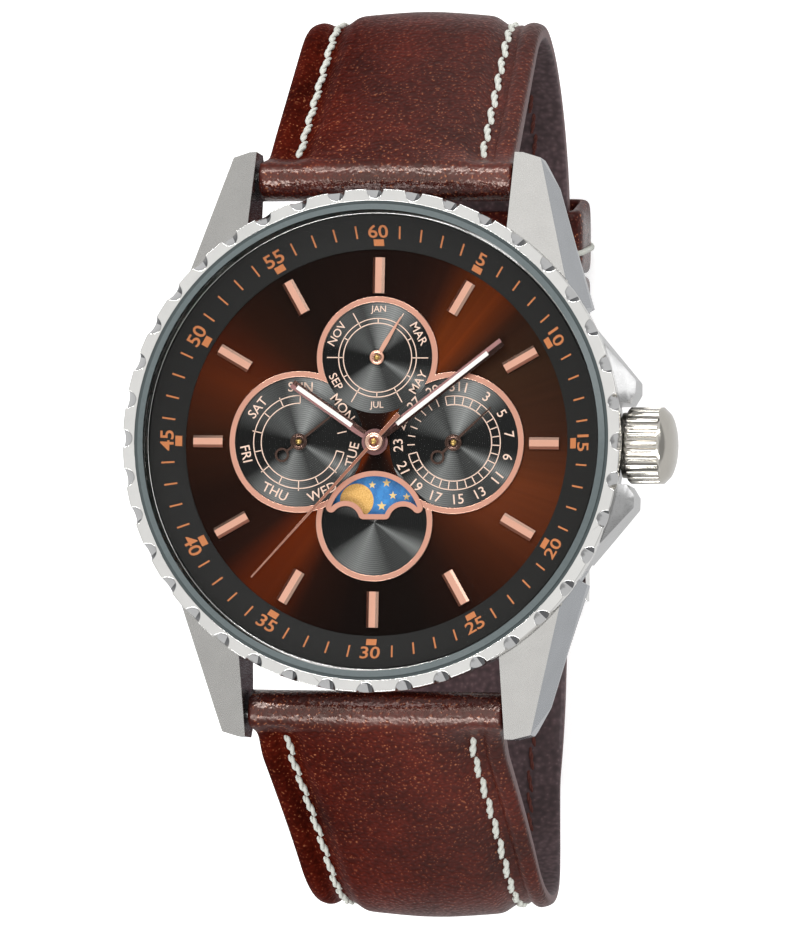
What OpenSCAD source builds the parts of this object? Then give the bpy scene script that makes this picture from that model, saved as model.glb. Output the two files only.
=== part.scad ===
// Quartz calendar watch on a closed leather strap, in millimetres, dial up.
// Origin: on the hand axis, in the outer face of the case back.
// +Z runs out through the crystal, +Y to 12 o'clock, +X to the crown.

/* [Case] */
// Diameter of the bezel ring
bezel_d = 42; // [41.6:0.2:44]
// Height of the bezel ring
bezel_h = 1.7; // [1.5:0.1:2.2]
// Width of the bezel's top face
bezel_land = 1.0; // [0.9:0.05:1.2]
// Number of scooped bites round the bezel
scoop_count = 40; // [20:1:48]
// Radius of the cutter that makes a bite
scoop_r = 0.75; // [0.5:0.05:0.9]
// How far a bite reaches in from the bezel's edge
scoop_reach = 0.8; // [0.3:0.05:0.9]
// How far a bite runs down the bezel's side
scoop_drop = 1.1; // [0.8:0.1:1.4]
// How far the bezel stands out past the case flank
bezel_overhang = 0.6; // [0.4:0.1:0.8]
// Height of the case middle
case_h = 5.8; // [5.6:0.1:6.4]
// Thickness of the case wall round movement and dial
case_wall = 2.8; // [2.7:0.1:3]
// Thickness of the case back
back_t = 1.0; // [0.8:0.1:1.4]
// Height of the ring that centres the case back
back_register_h = 0.8; // [0.6:0.1:0.9]
// Number of case back screws
back_screw_count = 4; // [4:2:8]
// Radius of a case back screw's thread
back_screw_r = 0.45; // [0.35:0.05:0.5]

/* [Lugs] */
// Gap between the lugs, the strap's fitting width
lug_gap = 22; // [20:0.5:22]
// Gap between a lug and the strap's side
lug_side_gap = 0.15; // [0.1:0.05:0.4]
// Distance from the case flank to a spring bar's axis
bar_gap = 2.2; // [2.1:0.1:2.6]
// How far a lug reaches past its spring bar
lug_past_bar = 2.2; // [2:0.1:2.8]
// Height of a spring bar's axis
bar_z = 2.1; // [2:0.1:2.4]
// Radius of a spring bar's body
bar_r = 0.75; // [0.6:0.05:0.85]
// Radius of a spring bar's tip
bar_tip_r = 0.4; // [0.3:0.05:0.45]
// Length of a spring bar's tip inside its lug
bar_tip_l = 0.9; // [0.6:0.1:1.1]

/* [Crystal and dial] */
// Width of the gasket between crystal and bezel
gasket_w = 0.25; // [0.2:0.05:0.4]
// Width of the ledge under the crystal's rim
crystal_ledge = 1.0; // [0.8:0.05:1]
// Thickness of the crystal
crystal_t = 1.5; // [1.2:0.1:1.8]
// Width and height of the crystal's bevel
crystal_bevel = 0.5; // [0.3:0.05:0.6]
// Width of the sloped chapter ring
chapter_w = 2.8; // [2.5:0.05:3]
// Height of the sloped chapter ring
chapter_h = 1.7; // [1.5:0.1:1.9]
// Thickness of the dial
dial_t = 0.4; // [0.3:0.05:0.5]
// Length of an hour bar
bar_marker_l = 3.0; // [2.4:0.1:3.2]
// Length of the bars at 3 and 9 o'clock
bar_marker_short_l = 2.5; // [2:0.1:2.6]
// Width of an hour bar
bar_marker_w = 1.0; // [0.7:0.05:1.2]
// Height of an hour bar
bar_marker_h = 0.35; // [0.25:0.05:0.4]
// Gap between an hour bar and the chapter ring
marker_gap = 0.7; // [0.4:0.05:0.8]

/* [Sub-dials] */
// Distance of the month sub-dial above the hand axis
month_y = 7.1; // [6.9:0.1:7.3]
// Radius of the month sub-dial with its frame
month_r = 5.15; // [4.9:0.05:5.3]
// Distance of the weekday sub-dial left of the hand axis
day_x = 6.5; // [6.4:0.1:6.7]
// Distance of the date sub-dial right of the hand axis
date_x = 6.6; // [6.5:0.1:6.7]
// Radius of the weekday and date sub-dials with their frame
day_r = 5.95; // [5.8:0.05:6]
// Distance of the moon sub-dial below the hand axis
moon_y = 6.7; // [6.6:0.1:6.9]
// Radius of the moon sub-dial with its frame
moon_r = 4.95; // [4.8:0.05:5.1]
// Width of the frame band round the sub-dials
frame_w = 0.5; // [0.4:0.05:0.6]
// Height of the frame band
frame_h = 0.18; // [0.12:0.02:0.2]
// Radius of the moon window's upper arc
window_r = 3.95; // [3.7:0.05:4]
// Radius of the two humps that cover the moon
hump_r = 1.55; // [1.4:0.05:1.6]
// Distance of a moon and of a hump from the moon disc's axis
moon_orbit = 2.45; // [2.35:0.05:2.5]
// Radius of a moon on the moon disc
moon_face_r = 1.43; // [1.3:0.05:1.45]

/* [Hands] */
// Length of the hour hand
hour_l = 8.6; // [8:0.05:9.5]
// Length of the minute hand
minute_l = 13.55; // [13:0.05:14.5]
// Length of the seconds hand
seconds_l = 15.3; // [14:0.1:16]
// Length of the seconds hand's tail
seconds_tail_l = 3.1; // [2.5:0.1:3.5]
// Width of the hour and minute hands
hand_w = 0.75; // [0.6:0.05:0.9]
// Thickness of the hour and minute hands
hand_t = 0.2; // [0.12:0.01:0.2]
// Width of the luminous strips
lume_w = 0.36; // [0.2:0.02:0.4]
// Length of the month hand
month_l = 3.95; // [3.5:0.05:4]
// Length of the weekday and date hands
day_l = 4.3; // [4:0.05:4.5]
// Hour hand's angle at rest, clockwise from 12 o'clock
hour_angle = 304.3; // [0:0.1:360]
// Minute hand's angle at rest
minute_angle = 51.7; // [0:0.1:360]
// Seconds hand's angle at rest
seconds_angle = 221.7; // [0:0.1:360]
// Month hand's angle at rest
month_angle = 30; // [0:1:360]
// Weekday hand's angle at rest
day_angle = 51.4; // [0:0.1:360]
// Date hand's angle at rest
date_angle = 46.5; // [0:0.1:360]

/* [Crown] */
// Diameter of the crown over its flutes
crown_d = 6.4; // [6:0.1:6.6]
// Length of the crown's fluted part
crown_flute_l = 3.4; // [3:0.1:4]
// Length of the crown's domed end
crown_dome_l = 1.1; // [0.6:0.1:1.4]
// Number of flutes
flute_count = 30; // [20:1:36]
// Depth of a flute
flute_depth = 0.18; // [0.1:0.02:0.25]
// Height of the crown's axis
crown_z = 3.9; // [3.85:0.01:3.95]
// How far the crown pulls out to set the time
crown_pull = 1.2; // [0.8:0.1:1.4]
// Radius of the winding stem
stem_r = 0.4; // [0.34:0.01:0.4]

/* [Movement] */
// Radius of the movement's main plate
plate_r = 12.9; // [12.6:0.1:13.2]
// Thickness of the main plate
plate_t = 1.0; // [0.8:0.1:1.0]
// Height of the space between main plate and dial
work_h = 0.8; // [0.75:0.05:0.9]
// Radius of the battery
battery_r = 4.75; // [3.9:0.05:4.75]
// Thickness of the battery
battery_t = 1.95; // [1.6:0.05:1.95]
// Radius of the coil winding
coil_r = 0.72; // [0.5:0.02:0.74]
// Length of the coil winding
coil_l = 6.4; // [5:0.1:6.8]

/* [Strap] */
// How much narrower the strap is at the buckle
strap_taper = 2.2; // [2:0.1:4]
// Reach of the strap loop from the hand axis along Y
loop_reach = 39.1; // [38:0.1:41]
// Slope of the strap behind its roll, from the level
strap_slope = 48.6; // [46:0.2:52]
// Outer radius of the turn at the end of the slope
turn_r = 11; // [9:0.5:13]
// Height of the centre of the upper strap's back curve
upper_centre_z = -15.5; // [-17:0.5:-14]
// Height of the centre of the lower strap's back curve
lower_centre_z = -17.5; // [-19:0.5:-16]
// Depth of the strap's inner face under the case back
loop_depth = 34; // [32:0.5:38]
// Radius of the rolled strap end round its spring bar
strap_roll_r = 2.0; // [1.6:0.1:2]
// How far each end of the roll stands out past the strap
roll_flare = 0.4; // [0:0.1:0.6]
// Thickness of the upper strap past its bend
upper_t = 2.5; // [2.2:0.1:2.8]
// Thickness of the lower strap past its bend
lower_t = 2.2; // [1.8:0.1:2.4]
// Sideways set of the lower strap at its bend
lower_lean = 1.8; // [0:0.1:2]
// Distance from one buckle hole to the next
hole_pitch = 6.5; // [5.5:0.5:7]
// Length of a keeper along the strap
keeper_l = 6.5; // [5:0.5:7]
// Thickness of a keeper's leather
keeper_t = 1.1; // [0.8:0.1:1.4]

/* [Buckle] */
// Length of the buckle from its spring bar to its front bar
buckle_l = 9.6; // [8.5:0.1:11]
// Thickness of a buckle arm
buckle_arm_t = 1.3; // [1:0.1:1.6]
// Width of the front bar
buckle_bar_w = 2.0; // [1.6:0.1:2.4]
// Width of the tang
tang_w = 1.3; // [1:0.1:1.5]
// Thickness of the tang
tang_t = 0.8; // [0.6:0.1:0.8]

/* [Hidden] */
$fn = 48;
far = 100;
eps = 0.01;

// Clearances: a fixed seat, a running pivot, a wheel beside a plate, and soft leather
seat_gap = 0.05;
pivot_gap = 0.03;
wheel_gap = 0.05;
leather_gap = 0.12;
slide_gap = 0.3;

// Case heights, from the back to the crystal
case_z = back_t;
back_screw_end_z = back_t + 1.9;
bezel_z = case_z + case_h;
bezel_top_z = bezel_z + bezel_h;
case_r = bezel_d / 2 - bezel_overhang;
case_bore_r = case_r - case_wall;
bezel_r = bezel_d / 2;
bezel_bore_r = bezel_r - bezel_land;
crystal_r = bezel_bore_r - gasket_w;
shoulder_t = 0.5;
shoulder_z = bezel_z - shoulder_t;
crystal_z = bezel_z + shoulder_t;
chapter_r = bezel_bore_r - crystal_ledge;
opening_r = chapter_r - chapter_w;
bar_marker_r = opening_r - marker_gap;
chapter_bore_r = chapter_r + seat_gap;
neck_h = 0.3;
neck_r = bezel_bore_r - 0.35;
neck_w = 0.4;
bite_l = 8;
case_chamfer = 0.6;

// Dial heights
dial_z = crystal_z - chapter_h;
dial_r = case_bore_r - 2 * seat_gap;
dial_under_z = dial_z - dial_t;
plate_z = dial_under_z - work_h - plate_t;
plate_top_z = plate_z + plate_t;
subdial_t = 0.05;
subdial_z = dial_z + subdial_t;
foot_r = 0.35;
foot_at = 8.2;
foot_l = 1.5;

// Moon window: heights over the moon disc's axis, rounding and rim
window_floor = 0.6;
corner_rise = 1.15;
hump_rise = 0.15;
window_round = 0.08;
window_rim = 0.35;
window_lip = 0.08;

// Hand levels above the dial
small_hand_z = subdial_z + frame_h + 0.03;
small_hand_t = 0.12;
hour_z = small_hand_z + small_hand_t + 0.06;
minute_z = hour_z + hand_t + 0.1;
seconds_z = minute_z + hand_t + 0.1;
seconds_t = 0.1;
seconds_arbor_r = 0.12;
cannon_r = 0.4;
cannon_bore_r = seconds_arbor_r + 2 * pivot_gap;
hour_pipe_r = cannon_r + pivot_gap + 0.22;
small_arbor_r = 0.25;
small_pivot_r = 0.2;
hour_hub_r = 1.1;
minute_hub_r = 0.85;
seconds_hub_r = 0.5;
lume_from = 2.4;
hour_tip_l = 0.5;
minute_tip_l = 1.5;

// Crown and stem, along X
crown_x = case_r + 0.3;
crown_r = crown_d / 2;
tube_r = 1.0;
tube_end_x = crown_x + crown_flute_l - 1.5;
crown_bore_r = 1.35;
crown_neck_r = min(crown_r - 0.3, bezel_z - crown_z - 0.15);
crown_neck_l = bezel_r + 0.15 - crown_x;
crown_bore_l = tube_end_x + 0.3 - crown_x;
stem_in_x = 9.4;
stem_seat_l = 0.7;
groove_w = 0.5;
groove_x = 11.0;
groove_r = 0.22;
clutch_x = 9.6;
clutch_l = 1.0;
clutch_r = 0.85;
clutch_square = 0.5;
lever_pin_r = 0.15;
lever_arm = 2.1;
lever_x = groove_x + crown_pull / 2;
lever_t = 0.18;

// Going train: teeth, modules and places
train_module = 0.08;
rotor_teeth = 8;
intermediate_teeth = 48;
intermediate_leaves = 10;
seconds_teeth = 50;
third_module = 0.075;
seconds_leaves = 8;
third_teeth = 60;
third_leaves = 8;
centre_teeth = 64;
cannon_teeth = 12;
minute_teeth = 36;
minute_leaves = 10;
hour_teeth = 40;
rotor_gap = train_module * (rotor_teeth + intermediate_teeth) / 2;
intermediate_gap = train_module * (intermediate_leaves + seconds_teeth) / 2;
third_gap = third_module * (seconds_leaves + third_teeth) / 2;
centre_module = 2 * third_gap / (third_leaves + centre_teeth);
minute_module = 0.125;
minute_gap = minute_module * (cannon_teeth + minute_teeth) / 2;
hour_module = 2 * minute_gap / (minute_leaves + hour_teeth);
rotor_dir = 120;
third_dir = 300;
minute_dir = 45;
intermediate_at = intermediate_gap * [cos(rotor_dir), sin(rotor_dir)];
rotor_at = (intermediate_gap + rotor_gap) * [cos(rotor_dir), sin(rotor_dir)];
third_at = third_gap * [cos(third_dir), sin(third_dir)];
minute_at = minute_gap * [cos(minute_dir), sin(minute_dir)];
wheel_t = 0.15;
arbor_r = 0.12;
bridge_t = 0.3;
bridge_z = plate_z - 1.9;
bridge_top_z = bridge_z + bridge_t;
rotor_z = bridge_top_z + 0.1;
rotor_r = 0.55;
rotor_h = 0.4;
seconds_wheel_z = bridge_top_z + 0.2;
third_wheel_z = bridge_top_z + 0.6;
centre_wheel_z = bridge_top_z + 1.05;
motion_z = plate_top_z + wheel_gap;
motion_t = 0.2;
hour_wheel_z = motion_z + motion_t + wheel_gap;
moon_disc_t = 0.1;
moon_disc_z = dial_under_z - 0.08 - moon_disc_t;
moon_disc_r = window_r + 0.25;
calendar_module = 0.15;
day_teeth = 28;
date_teeth = 31;
month_teeth = 24;
moon_teeth = 30;

// Electrics
board_t = 0.2;
battery_dir = 210;
battery_away = 7.75;
battery_at = battery_away * [cos(battery_dir), sin(battery_dir)];
coil_at = [-2.3, 8.6];
core_l = coil_l + 2.4;
core_w = 0.9;
core_t = 0.3;
stator_t = 0.3;
stator_z = rotor_z + 0.05;
stator_hole_r = rotor_r + 0.15;
coil_z = stator_z + stator_t + core_t / 2;
chip_at = [6.2, 5.4];
chip_size = [2.2, 2.2, 0.6];
can_at = [9.3, -6.6];
can_r = 0.75;
can_l = 5.5;
pillars = [[4.6, 3.4], [-4.4, 1.6], [3.0, -5.6]];
pillar_r = 0.65;
pillar_screw_r = 0.3;
clip_t = 0.15;

// Lugs: the place of the bars, and the planes of the top right lug
bar_y = case_r + bar_gap;
lug_reach = bar_y + lug_past_bar;
lug_x = lug_gap / 2;
lug_tip_z = bar_z + 1.6;
lug_slope_x = 0.45;
lug_slope_y = 0.516;
lug_tip_w = 2.1;
lug_tip_step = 0.6;
lug_root_w = 6.6;
lug_root_y = case_r - 8.8;
lug_run_y = case_r - 3.4;
lug_hole_r = bar_tip_r + pivot_gap;
guard_x = case_r + 1.5;
guard_in_y = crown_r + 0.2;
guard_w = 1.9;
guard_run = 4.6;

// Strap loop, drawn in the YZ plane
strap_w = lug_gap - 2 * lug_side_gap;
strap_end_w = strap_w - strap_taper;
roll_low_z = bar_z - strap_roll_r;
upper_in_z = -loop_depth;
upper_out_z = upper_in_z - upper_t;
lower_in_z = upper_out_z - leather_gap;
lower_out_z = lower_in_z - lower_t;
loop_low_z = lower_out_z - leather_gap - keeper_t;
slope_n = [sin(strap_slope), cos(strap_slope)];
turn_y = loop_reach - turn_r;
turn_lift = slope_n * [bar_y, bar_z] + strap_roll_r - turn_r - slope_n[0] * turn_y;
turn_at = [turn_y, turn_lift / slope_n[1]];
upper_out_r = upper_centre_z - upper_out_z;
upper_in_r = upper_out_r - upper_t;
upper_back = back_at(upper_centre_z, upper_out_r);
lower_out_r = lower_centre_z - lower_out_z;
lower_back = back_at(lower_centre_z, lower_out_r);
tail_in_r = upper_out_r + leather_gap;
tail_out_r = tail_in_r + lower_t;
tail_angle = 12;
tunnel_r = bar_r + 0.12;
arc_steps = 18;
width_steps = 10;
side_w = strap_end_w / 2 + slide_gap;
keeper_in_r = upper_in_r - leather_gap;
keeper_out_r = tail_out_r + leather_gap;
keeper_start = 0.3;
keeper_angle = keeper_l / tail_out_r * 180 / PI;
fixed_keeper_y = upper_back[0] - keeper_l - 0.2;

// Buckle
heel_y = 0;
heel_z = (upper_in_z + upper_out_z) / 2;
heel_r = 0.7;
buckle_x = strap_end_w / 2 + 0.25;
front_y = heel_y - buckle_l;
tang_slot_w = tang_w + 0.4;
hole_r = norm([tang_w, tang_t]) / 2 + 0.14;
tang_hole_y = heel_y - 3.4;

// Points on an arc round c, from angle a to angle b
function arc(c, r, a, b, n = arc_steps) =
    [for (i = [0:n]) c + r * [cos(a + (b - a) * i / n), sin(a + (b - a) * i / n)]];

// Direction from point p to point q
function heading(p, q) = atan2(q[1] - p[1], q[0] - p[0]);

// Centre of the back curve of radius out_r, which runs on from the turn
function back_at(centre_z, out_r) =
    [turn_at[0] - sqrt(pow(out_r - turn_r, 2) - pow(turn_at[1] - centre_z, 2)), centre_z];

function flip(points) = [for (i = [len(points) - 1:-1:0]) points[i]];

module disc(r, h, z, at = [0, 0]) {
    translate([at[0], at[1], z]) cylinder(r = r, h = h);
}

module tube(r, bore, h, z, at = [0, 0]) {
    difference() {
        disc(r, h, z, at);
        disc(bore, h + 2 * eps, z - eps, at);
    }
}

// A cylinder along X
module rod(r, l, x, z, y = 0) {
    translate([x, y, z]) rotate([0, 90, 0]) cylinder(r = r, h = l);
}

// The half of space on the far side of a plane
module beyond(point, normal) {
    translate(point)
        rotate([0, acos(normal[2] / norm(normal)), atan2(normal[1], normal[0])])
        translate([-far / 2, -far / 2, 0]) cube(far);
}

// A toothed wheel with plain teeth, a tooth pointing along facing
module gear(teeth, m, h, z, at, facing, space = false) {
    pitch_r = teeth * m / 2;
    translate([at[0], at[1], z])
        rotate(facing + (space ? 180 / teeth : 0))
        linear_extrude(h)
        polygon([for (k = [0:2 * teeth - 1])
            (k % 2 == 0 ? pitch_r + 0.8 * m : pitch_r - m)
            * [cos(180 * k / teeth), sin(180 * k / teeth)]]);
}

// An extrusion of a YZ outline, from x0 to x1
module across(x0, x1) {
    translate([x0, 0, 0]) rotate([90, 0, 90]) linear_extrude(x1 - x0) children();
}

// Case middle: ring, lugs, crown guards and bores

module case_ring() {
    rotate_extrude($fn = 96) polygon([
        [case_bore_r - 1, case_z],
        [case_r - case_chamfer, case_z],
        [case_r, case_z + case_chamfer],
        [case_r, bezel_z],
        [neck_r + neck_w / 2, bezel_z],
        [neck_r + neck_w / 2, bezel_z + neck_h],
        [neck_r - neck_w / 2, bezel_z + neck_h],
        [neck_r - neck_w / 2, bezel_z],
        [case_bore_r - 1, bezel_z]
    ]);
}

module lug() {
    tip = [lug_x + lug_tip_w, lug_reach - lug_tip_step, lug_tip_z - lug_slope_x * lug_tip_w
        + lug_slope_y * lug_tip_step];
    difference() {
        intersection() {
            linear_extrude(bezel_z + 1) polygon([
                [lug_x, lug_root_y + 0.4],
                [lug_x, lug_reach],
                [lug_x + lug_tip_w, lug_reach - lug_tip_step],
                [lug_x + lug_tip_w + 1.3, lug_reach - 3],
                [lug_x + lug_root_w, lug_root_y],
                [lug_x + 3, lug_root_y - 2]
            ]);
            across(lug_x, lug_x + 12) polygon([
                [lug_root_y - 3.6, case_z],
                [lug_run_y, case_z],
                [bar_y - 1, 0.35],
                [bar_y + 1.2, 0.3],
                [lug_reach - 0.2, 0.9],
                [lug_reach + 0.2, far],
                [lug_root_y - 3.6, far]
            ]);
        }
        beyond([lug_x, lug_reach, lug_tip_z], [lug_slope_x, lug_slope_y, 1]);
        beyond(tip, [0.929, 0.325, 0.176]);
        translate([0, 0, bezel_z]) cylinder(r = bezel_r + seat_gap, h = far, $fn = 96);
        rod(lug_hole_r, lug_gap / 2 + bar_tip_l + 0.15, 0, bar_z, bar_y);
    }
}

module crown_guard() {
    intersection() {
        linear_extrude(far) polygon([
            [case_r - 4.4, guard_in_y],
            [guard_x - 0.6, guard_in_y],
            [guard_x, guard_in_y + 0.9],
            [guard_x, guard_in_y + guard_w],
            [case_r - 2.5, guard_in_y + guard_w + guard_run],
            [case_r - 6.4, guard_in_y + guard_w + guard_run - 1]
        ]);
        rotate_extrude($fn = 96) polygon([
            [0, case_z],
            [case_r, case_z],
            [guard_x + 1.2, case_z + 1.4],
            [guard_x + 1.2, bezel_z - 1.2],
            [case_r + 0.4, bezel_z - 0.1],
            [0, bezel_z - 0.1]
        ]);
    }
}

module at_back_screws() {
    for (i = [0:back_screw_count - 1])
        rotate((i + 0.5) * 360 / back_screw_count)
        translate([(case_bore_r + case_r) / 2 - 0.05, 0, 0]) children();
}

module case_middle() {
    color("silver") difference() {
        union() {
            case_ring();
            for (side = [0, 1], end = [0, 1]) mirror([side, 0, 0]) mirror([0, end, 0]) lug();
            for (end = [0, 1]) mirror([0, end, 0]) crown_guard();
        }
        translate([0, 0, -1]) cylinder(r = case_bore_r, h = shoulder_z + 1, $fn = 96);
        translate([0, 0, shoulder_z - eps])
            cylinder(r = chapter_bore_r, h = 1, $fn = 96);
        translate([0, 0, case_z - 1])
            cylinder(r = case_bore_r + 0.55, h = 1.5, $fn = 96);
        at_back_screws() cylinder(r = back_screw_r, h = back_screw_end_z);
        rod(tube_r, far, case_bore_r - 1, crown_z);
    }
}

module bezel() {
    color("gainsboro") difference() {
        rotate_extrude($fn = 96) polygon([
            [chapter_bore_r, bezel_z],
            [bezel_r, bezel_z],
            [bezel_r, bezel_top_z],
            [bezel_bore_r, bezel_top_z],
            [bezel_bore_r, crystal_z],
            [chapter_bore_r, crystal_z]
        ]);
        translate([0, 0, bezel_z - 1]) difference() {
            cylinder(r = neck_r + neck_w / 2 + seat_gap, h = 1 + neck_h + seat_gap);
            translate([0, 0, -1]) cylinder(r = neck_r - neck_w / 2 - seat_gap, h = far);
        }
        run = norm([scoop_reach, scoop_drop]);
        for (i = [0:scoop_count - 1])
            rotate(i * 360 / scoop_count)
            translate([bezel_r - scoop_reach + scoop_r * scoop_drop / run, 0,
                bezel_top_z + scoop_r * scoop_reach / run])
            rotate([0, 180 - atan2(scoop_reach, scoop_drop), 0])
            cylinder(r = scoop_r, h = bite_l, center = true);
    }
}

module crystal() {
    color("lightcyan", 0.4) rotate_extrude($fn = 96) polygon([
        [0, crystal_z],
        [crystal_r, crystal_z],
        [crystal_r, crystal_z + crystal_t - crystal_bevel / 2],
        [crystal_r - crystal_bevel, crystal_z + crystal_t],
        [0, crystal_z + crystal_t]
    ]);
}

module crystal_gasket() {
    color("slategray") tube(bezel_bore_r, crystal_r, bezel_top_z - crystal_z - 0.1, crystal_z);
}

module chapter_ring() {
    color([0.17, 0.17, 0.17]) rotate_extrude($fn = 96) polygon([
        [opening_r, dial_z],
        [dial_r, dial_z],
        [dial_r, shoulder_z],
        [chapter_r, shoulder_z],
        [chapter_r, crystal_z],
        [chapter_r - 0.1, crystal_z],
        [opening_r, dial_z + 0.1]
    ]);
}

module case_back() {
    color("silver") difference() {
        union() {
            disc(case_r - case_chamfer - 0.1, back_t, 0);
            tube(case_bore_r - seat_gap, case_bore_r - 1.1, back_register_h, back_t);
        }
        at_back_screws() {
            translate([0, 0, -eps]) cylinder(r = back_screw_r, h = far);
            translate([0, 0, -eps]) cylinder(r = 2 * back_screw_r, h = 0.5);
        }
    }
}

module case_back_gasket() {
    color("black") tube(case_bore_r + 0.5, case_bore_r, 0.48, case_z);
}

module case_back_screws() {
    color("dimgray") at_back_screws() difference() {
        union() {
            translate([0, 0, 0.1]) cylinder(r = 2 * back_screw_r - 0.02, h = 0.38);
            translate([0, 0, 0.1]) cylinder(r = back_screw_r, h = back_screw_end_z - 0.1);
        }
        translate([-0.1, -1, 0]) cube([0.2, 2, 0.3]);
    }
}

// Crown, stem and setting parts

module crown_tube() {
    color("gray") difference() {
        rod(tube_r, tube_end_x - case_bore_r + 0.3, case_bore_r - 0.3, crown_z);
        rod(stem_r + 0.08, far, case_bore_r - 1, crown_z);
    }
}

module crown() {
    color("silver") translate([crown_x, 0, crown_z]) rotate([0, 90, 0]) difference() {
        rotate_extrude() polygon(concat(
            [[0, 0], [crown_neck_r, 0], [crown_neck_r, crown_neck_l],
                [crown_r - 0.2, crown_neck_l], [crown_r, crown_neck_l + 0.2],
                [crown_r, crown_flute_l]],
            [for (a = [30:6:90])
                [(crown_r - 0.15) * cos(a), crown_flute_l + crown_dome_l * sin(a)]]
        ));
        translate([0, 0, -eps]) cylinder(r = crown_bore_r, h = crown_bore_l + eps);
        cylinder(r = stem_r, h = crown_bore_l + stem_seat_l);
        for (i = [0:flute_count - 1])
            rotate(i * 360 / flute_count)
            translate([crown_r + 0.25 - flute_depth, 0, -eps])
            cylinder(r = 0.25, h = crown_flute_l - 0.25);
    }
}

module crown_gasket() {
    color("black") translate([crown_x + 0.3, 0, crown_z]) rotate([0, 90, 0]) difference() {
        cylinder(r = crown_bore_r, h = 0.4);
        translate([0, 0, -eps]) cylinder(r = tube_r + pivot_gap, h = 1);
    }
}

module winding_stem() {
    color("gray") difference() {
        union() {
            rod(stem_r, crown_x + crown_bore_l + stem_seat_l - clutch_x - clutch_l - 0.1,
                clutch_x + clutch_l + 0.1, crown_z);
            translate([stem_in_x - 1.2, -clutch_square / 2, crown_z - clutch_square / 2])
                cube([clutch_x + clutch_l + 1.35 - stem_in_x, clutch_square, clutch_square]);
        }
        difference() {
            rod(1, groove_w, groove_x - groove_w / 2, crown_z);
            rod(groove_r, far, 0, crown_z);
        }
    }
}

module clutch_wheel() {
    hole = clutch_square + 2 * pivot_gap;
    color("gold") difference() {
        translate([clutch_x, 0, crown_z]) rotate([0, 90, 0])
            gear(14, 2 * clutch_r / 15.6, clutch_l, 0, [0, 0], 0);
        translate([clutch_x - 1, -hole / 2, crown_z - hole / 2]) cube([far, hole, hole]);
    }
}

module setting_lever() {
    reach = norm([crown_pull / 2, lever_arm]);
    color("lightgray") {
        translate([lever_x, lever_arm, motion_z]) {
            difference() {
                union() {
                    cylinder(r = 0.45, h = lever_t);
                    rotate(atan2(-lever_arm, -crown_pull / 2)) {
                        translate([0, -0.2, 0]) cube([reach, 0.4, lever_t]);
                        translate([reach, 0, 0]) cylinder(r = 0.2, h = lever_t);
                        translate([reach, 0, crown_z + groove_r + 0.05 - motion_z])
                            cylinder(r = lever_pin_r, h = motion_z - crown_z - groove_r);
                    }
                }
                translate([0, 0, -eps]) cylinder(r = 0.2 + pivot_gap, h = 1);
            }
        }
    }
}

// Dial, markers and sub-dials

// The moon window: the top of a disc, over two humps and short floors, its corners rounded
module window() {
    translate([0, -moon_y]) offset(r = window_round) offset(r = -window_round) difference() {
        intersection() {
            circle(r = window_r, $fn = 96);
            translate([-far / 2, window_floor]) square(far);
        }
        for (side = [-1, 1]) {
            translate([side * moon_orbit, hump_rise]) circle(r = hump_r);
            translate([side * (moon_orbit + far / 2), corner_rise - far / 2])
                square(far, center = true);
        }
    }
}

module dial_plate() {
    color([0.25, 0.13, 0.07]) {
        difference() {
            disc(dial_r, dial_t, dial_under_z, $fn = 96);
            disc(hour_pipe_r + 0.1, far, 0);
            for (at = [[0, month_y], [-day_x, 0], [date_x, 0]])
                disc(small_arbor_r + 0.08, far, 0, at);
            linear_extrude(far) window();
        }
        for (side = [-1, 1])
            disc(foot_r, foot_l, dial_under_z - foot_l, side * [foot_at, -foot_at]);
    }
}

module hour_markers() {
    w = bar_marker_w / 2;
    color([0.85, 0.6, 0.5]) for (i = [0:11]) {
        l = i % 6 == 3 ? bar_marker_short_l : bar_marker_l;
        rotate(-30 * i)
            translate([0, bar_marker_r, dial_z])
            rotate([90, 0, 0]) linear_extrude(l) polygon([
                [-w, 0], [w, 0], [w, bar_marker_h * 0.55],
                [w * 0.55, bar_marker_h], [-w * 0.55, bar_marker_h], [-w, bar_marker_h * 0.55]
            ]);
    }
}

module subdial_outline(inset) {
    translate([0, month_y]) circle(r = month_r - inset, $fn = 96);
    translate([-day_x, 0]) circle(r = day_r - inset, $fn = 96);
    translate([date_x, 0]) circle(r = day_r - inset, $fn = 96);
    moon_outline(inset);
}

// The moon sub-dial: round below, and only as wide as its window's rim above
module moon_outline(inset, grow = 0) {
    translate([0, -moon_y]) {
        circle(r = window_r + window_rim + grow, $fn = 96);
        intersection() {
            circle(r = moon_r - inset + grow, $fn = 96);
            translate([-far / 2, corner_rise - far]) square(far);
        }
    }
}

// The part of the dial that lies open between the four sub-dials
module subdial_middle() {
    translate([-day_x / 2, -moon_y / 2]) square([(day_x + date_x) / 2, (month_y + moon_y) / 2]);
}

module subdial_frame() {
    color([0.85, 0.6, 0.5]) translate([0, 0, dial_z])
        linear_extrude(subdial_t + frame_h) difference() {
            subdial_outline(0);
            subdial_outline(frame_w);
            subdial_middle();
        }
}

module subdial_plates() {
    color([0.08, 0.08, 0.08]) translate([0, 0, dial_z]) linear_extrude(subdial_t) {
        translate([0, month_y]) difference() {
            circle(r = month_r - frame_w, $fn = 96);
            circle(r = small_arbor_r + 0.08);
        }
        for (x = [-day_x, date_x]) difference() {
            translate([x, 0]) circle(r = day_r - frame_w, $fn = 96);
            translate([x, 0]) circle(r = small_arbor_r + 0.08);
            translate([0, month_y]) circle(r = month_r - frame_w + 0.02, $fn = 96);
            moon_outline(frame_w, 0.02);
        }
        difference() {
            moon_outline(frame_w);
            window();
        }
    }
}

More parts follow.
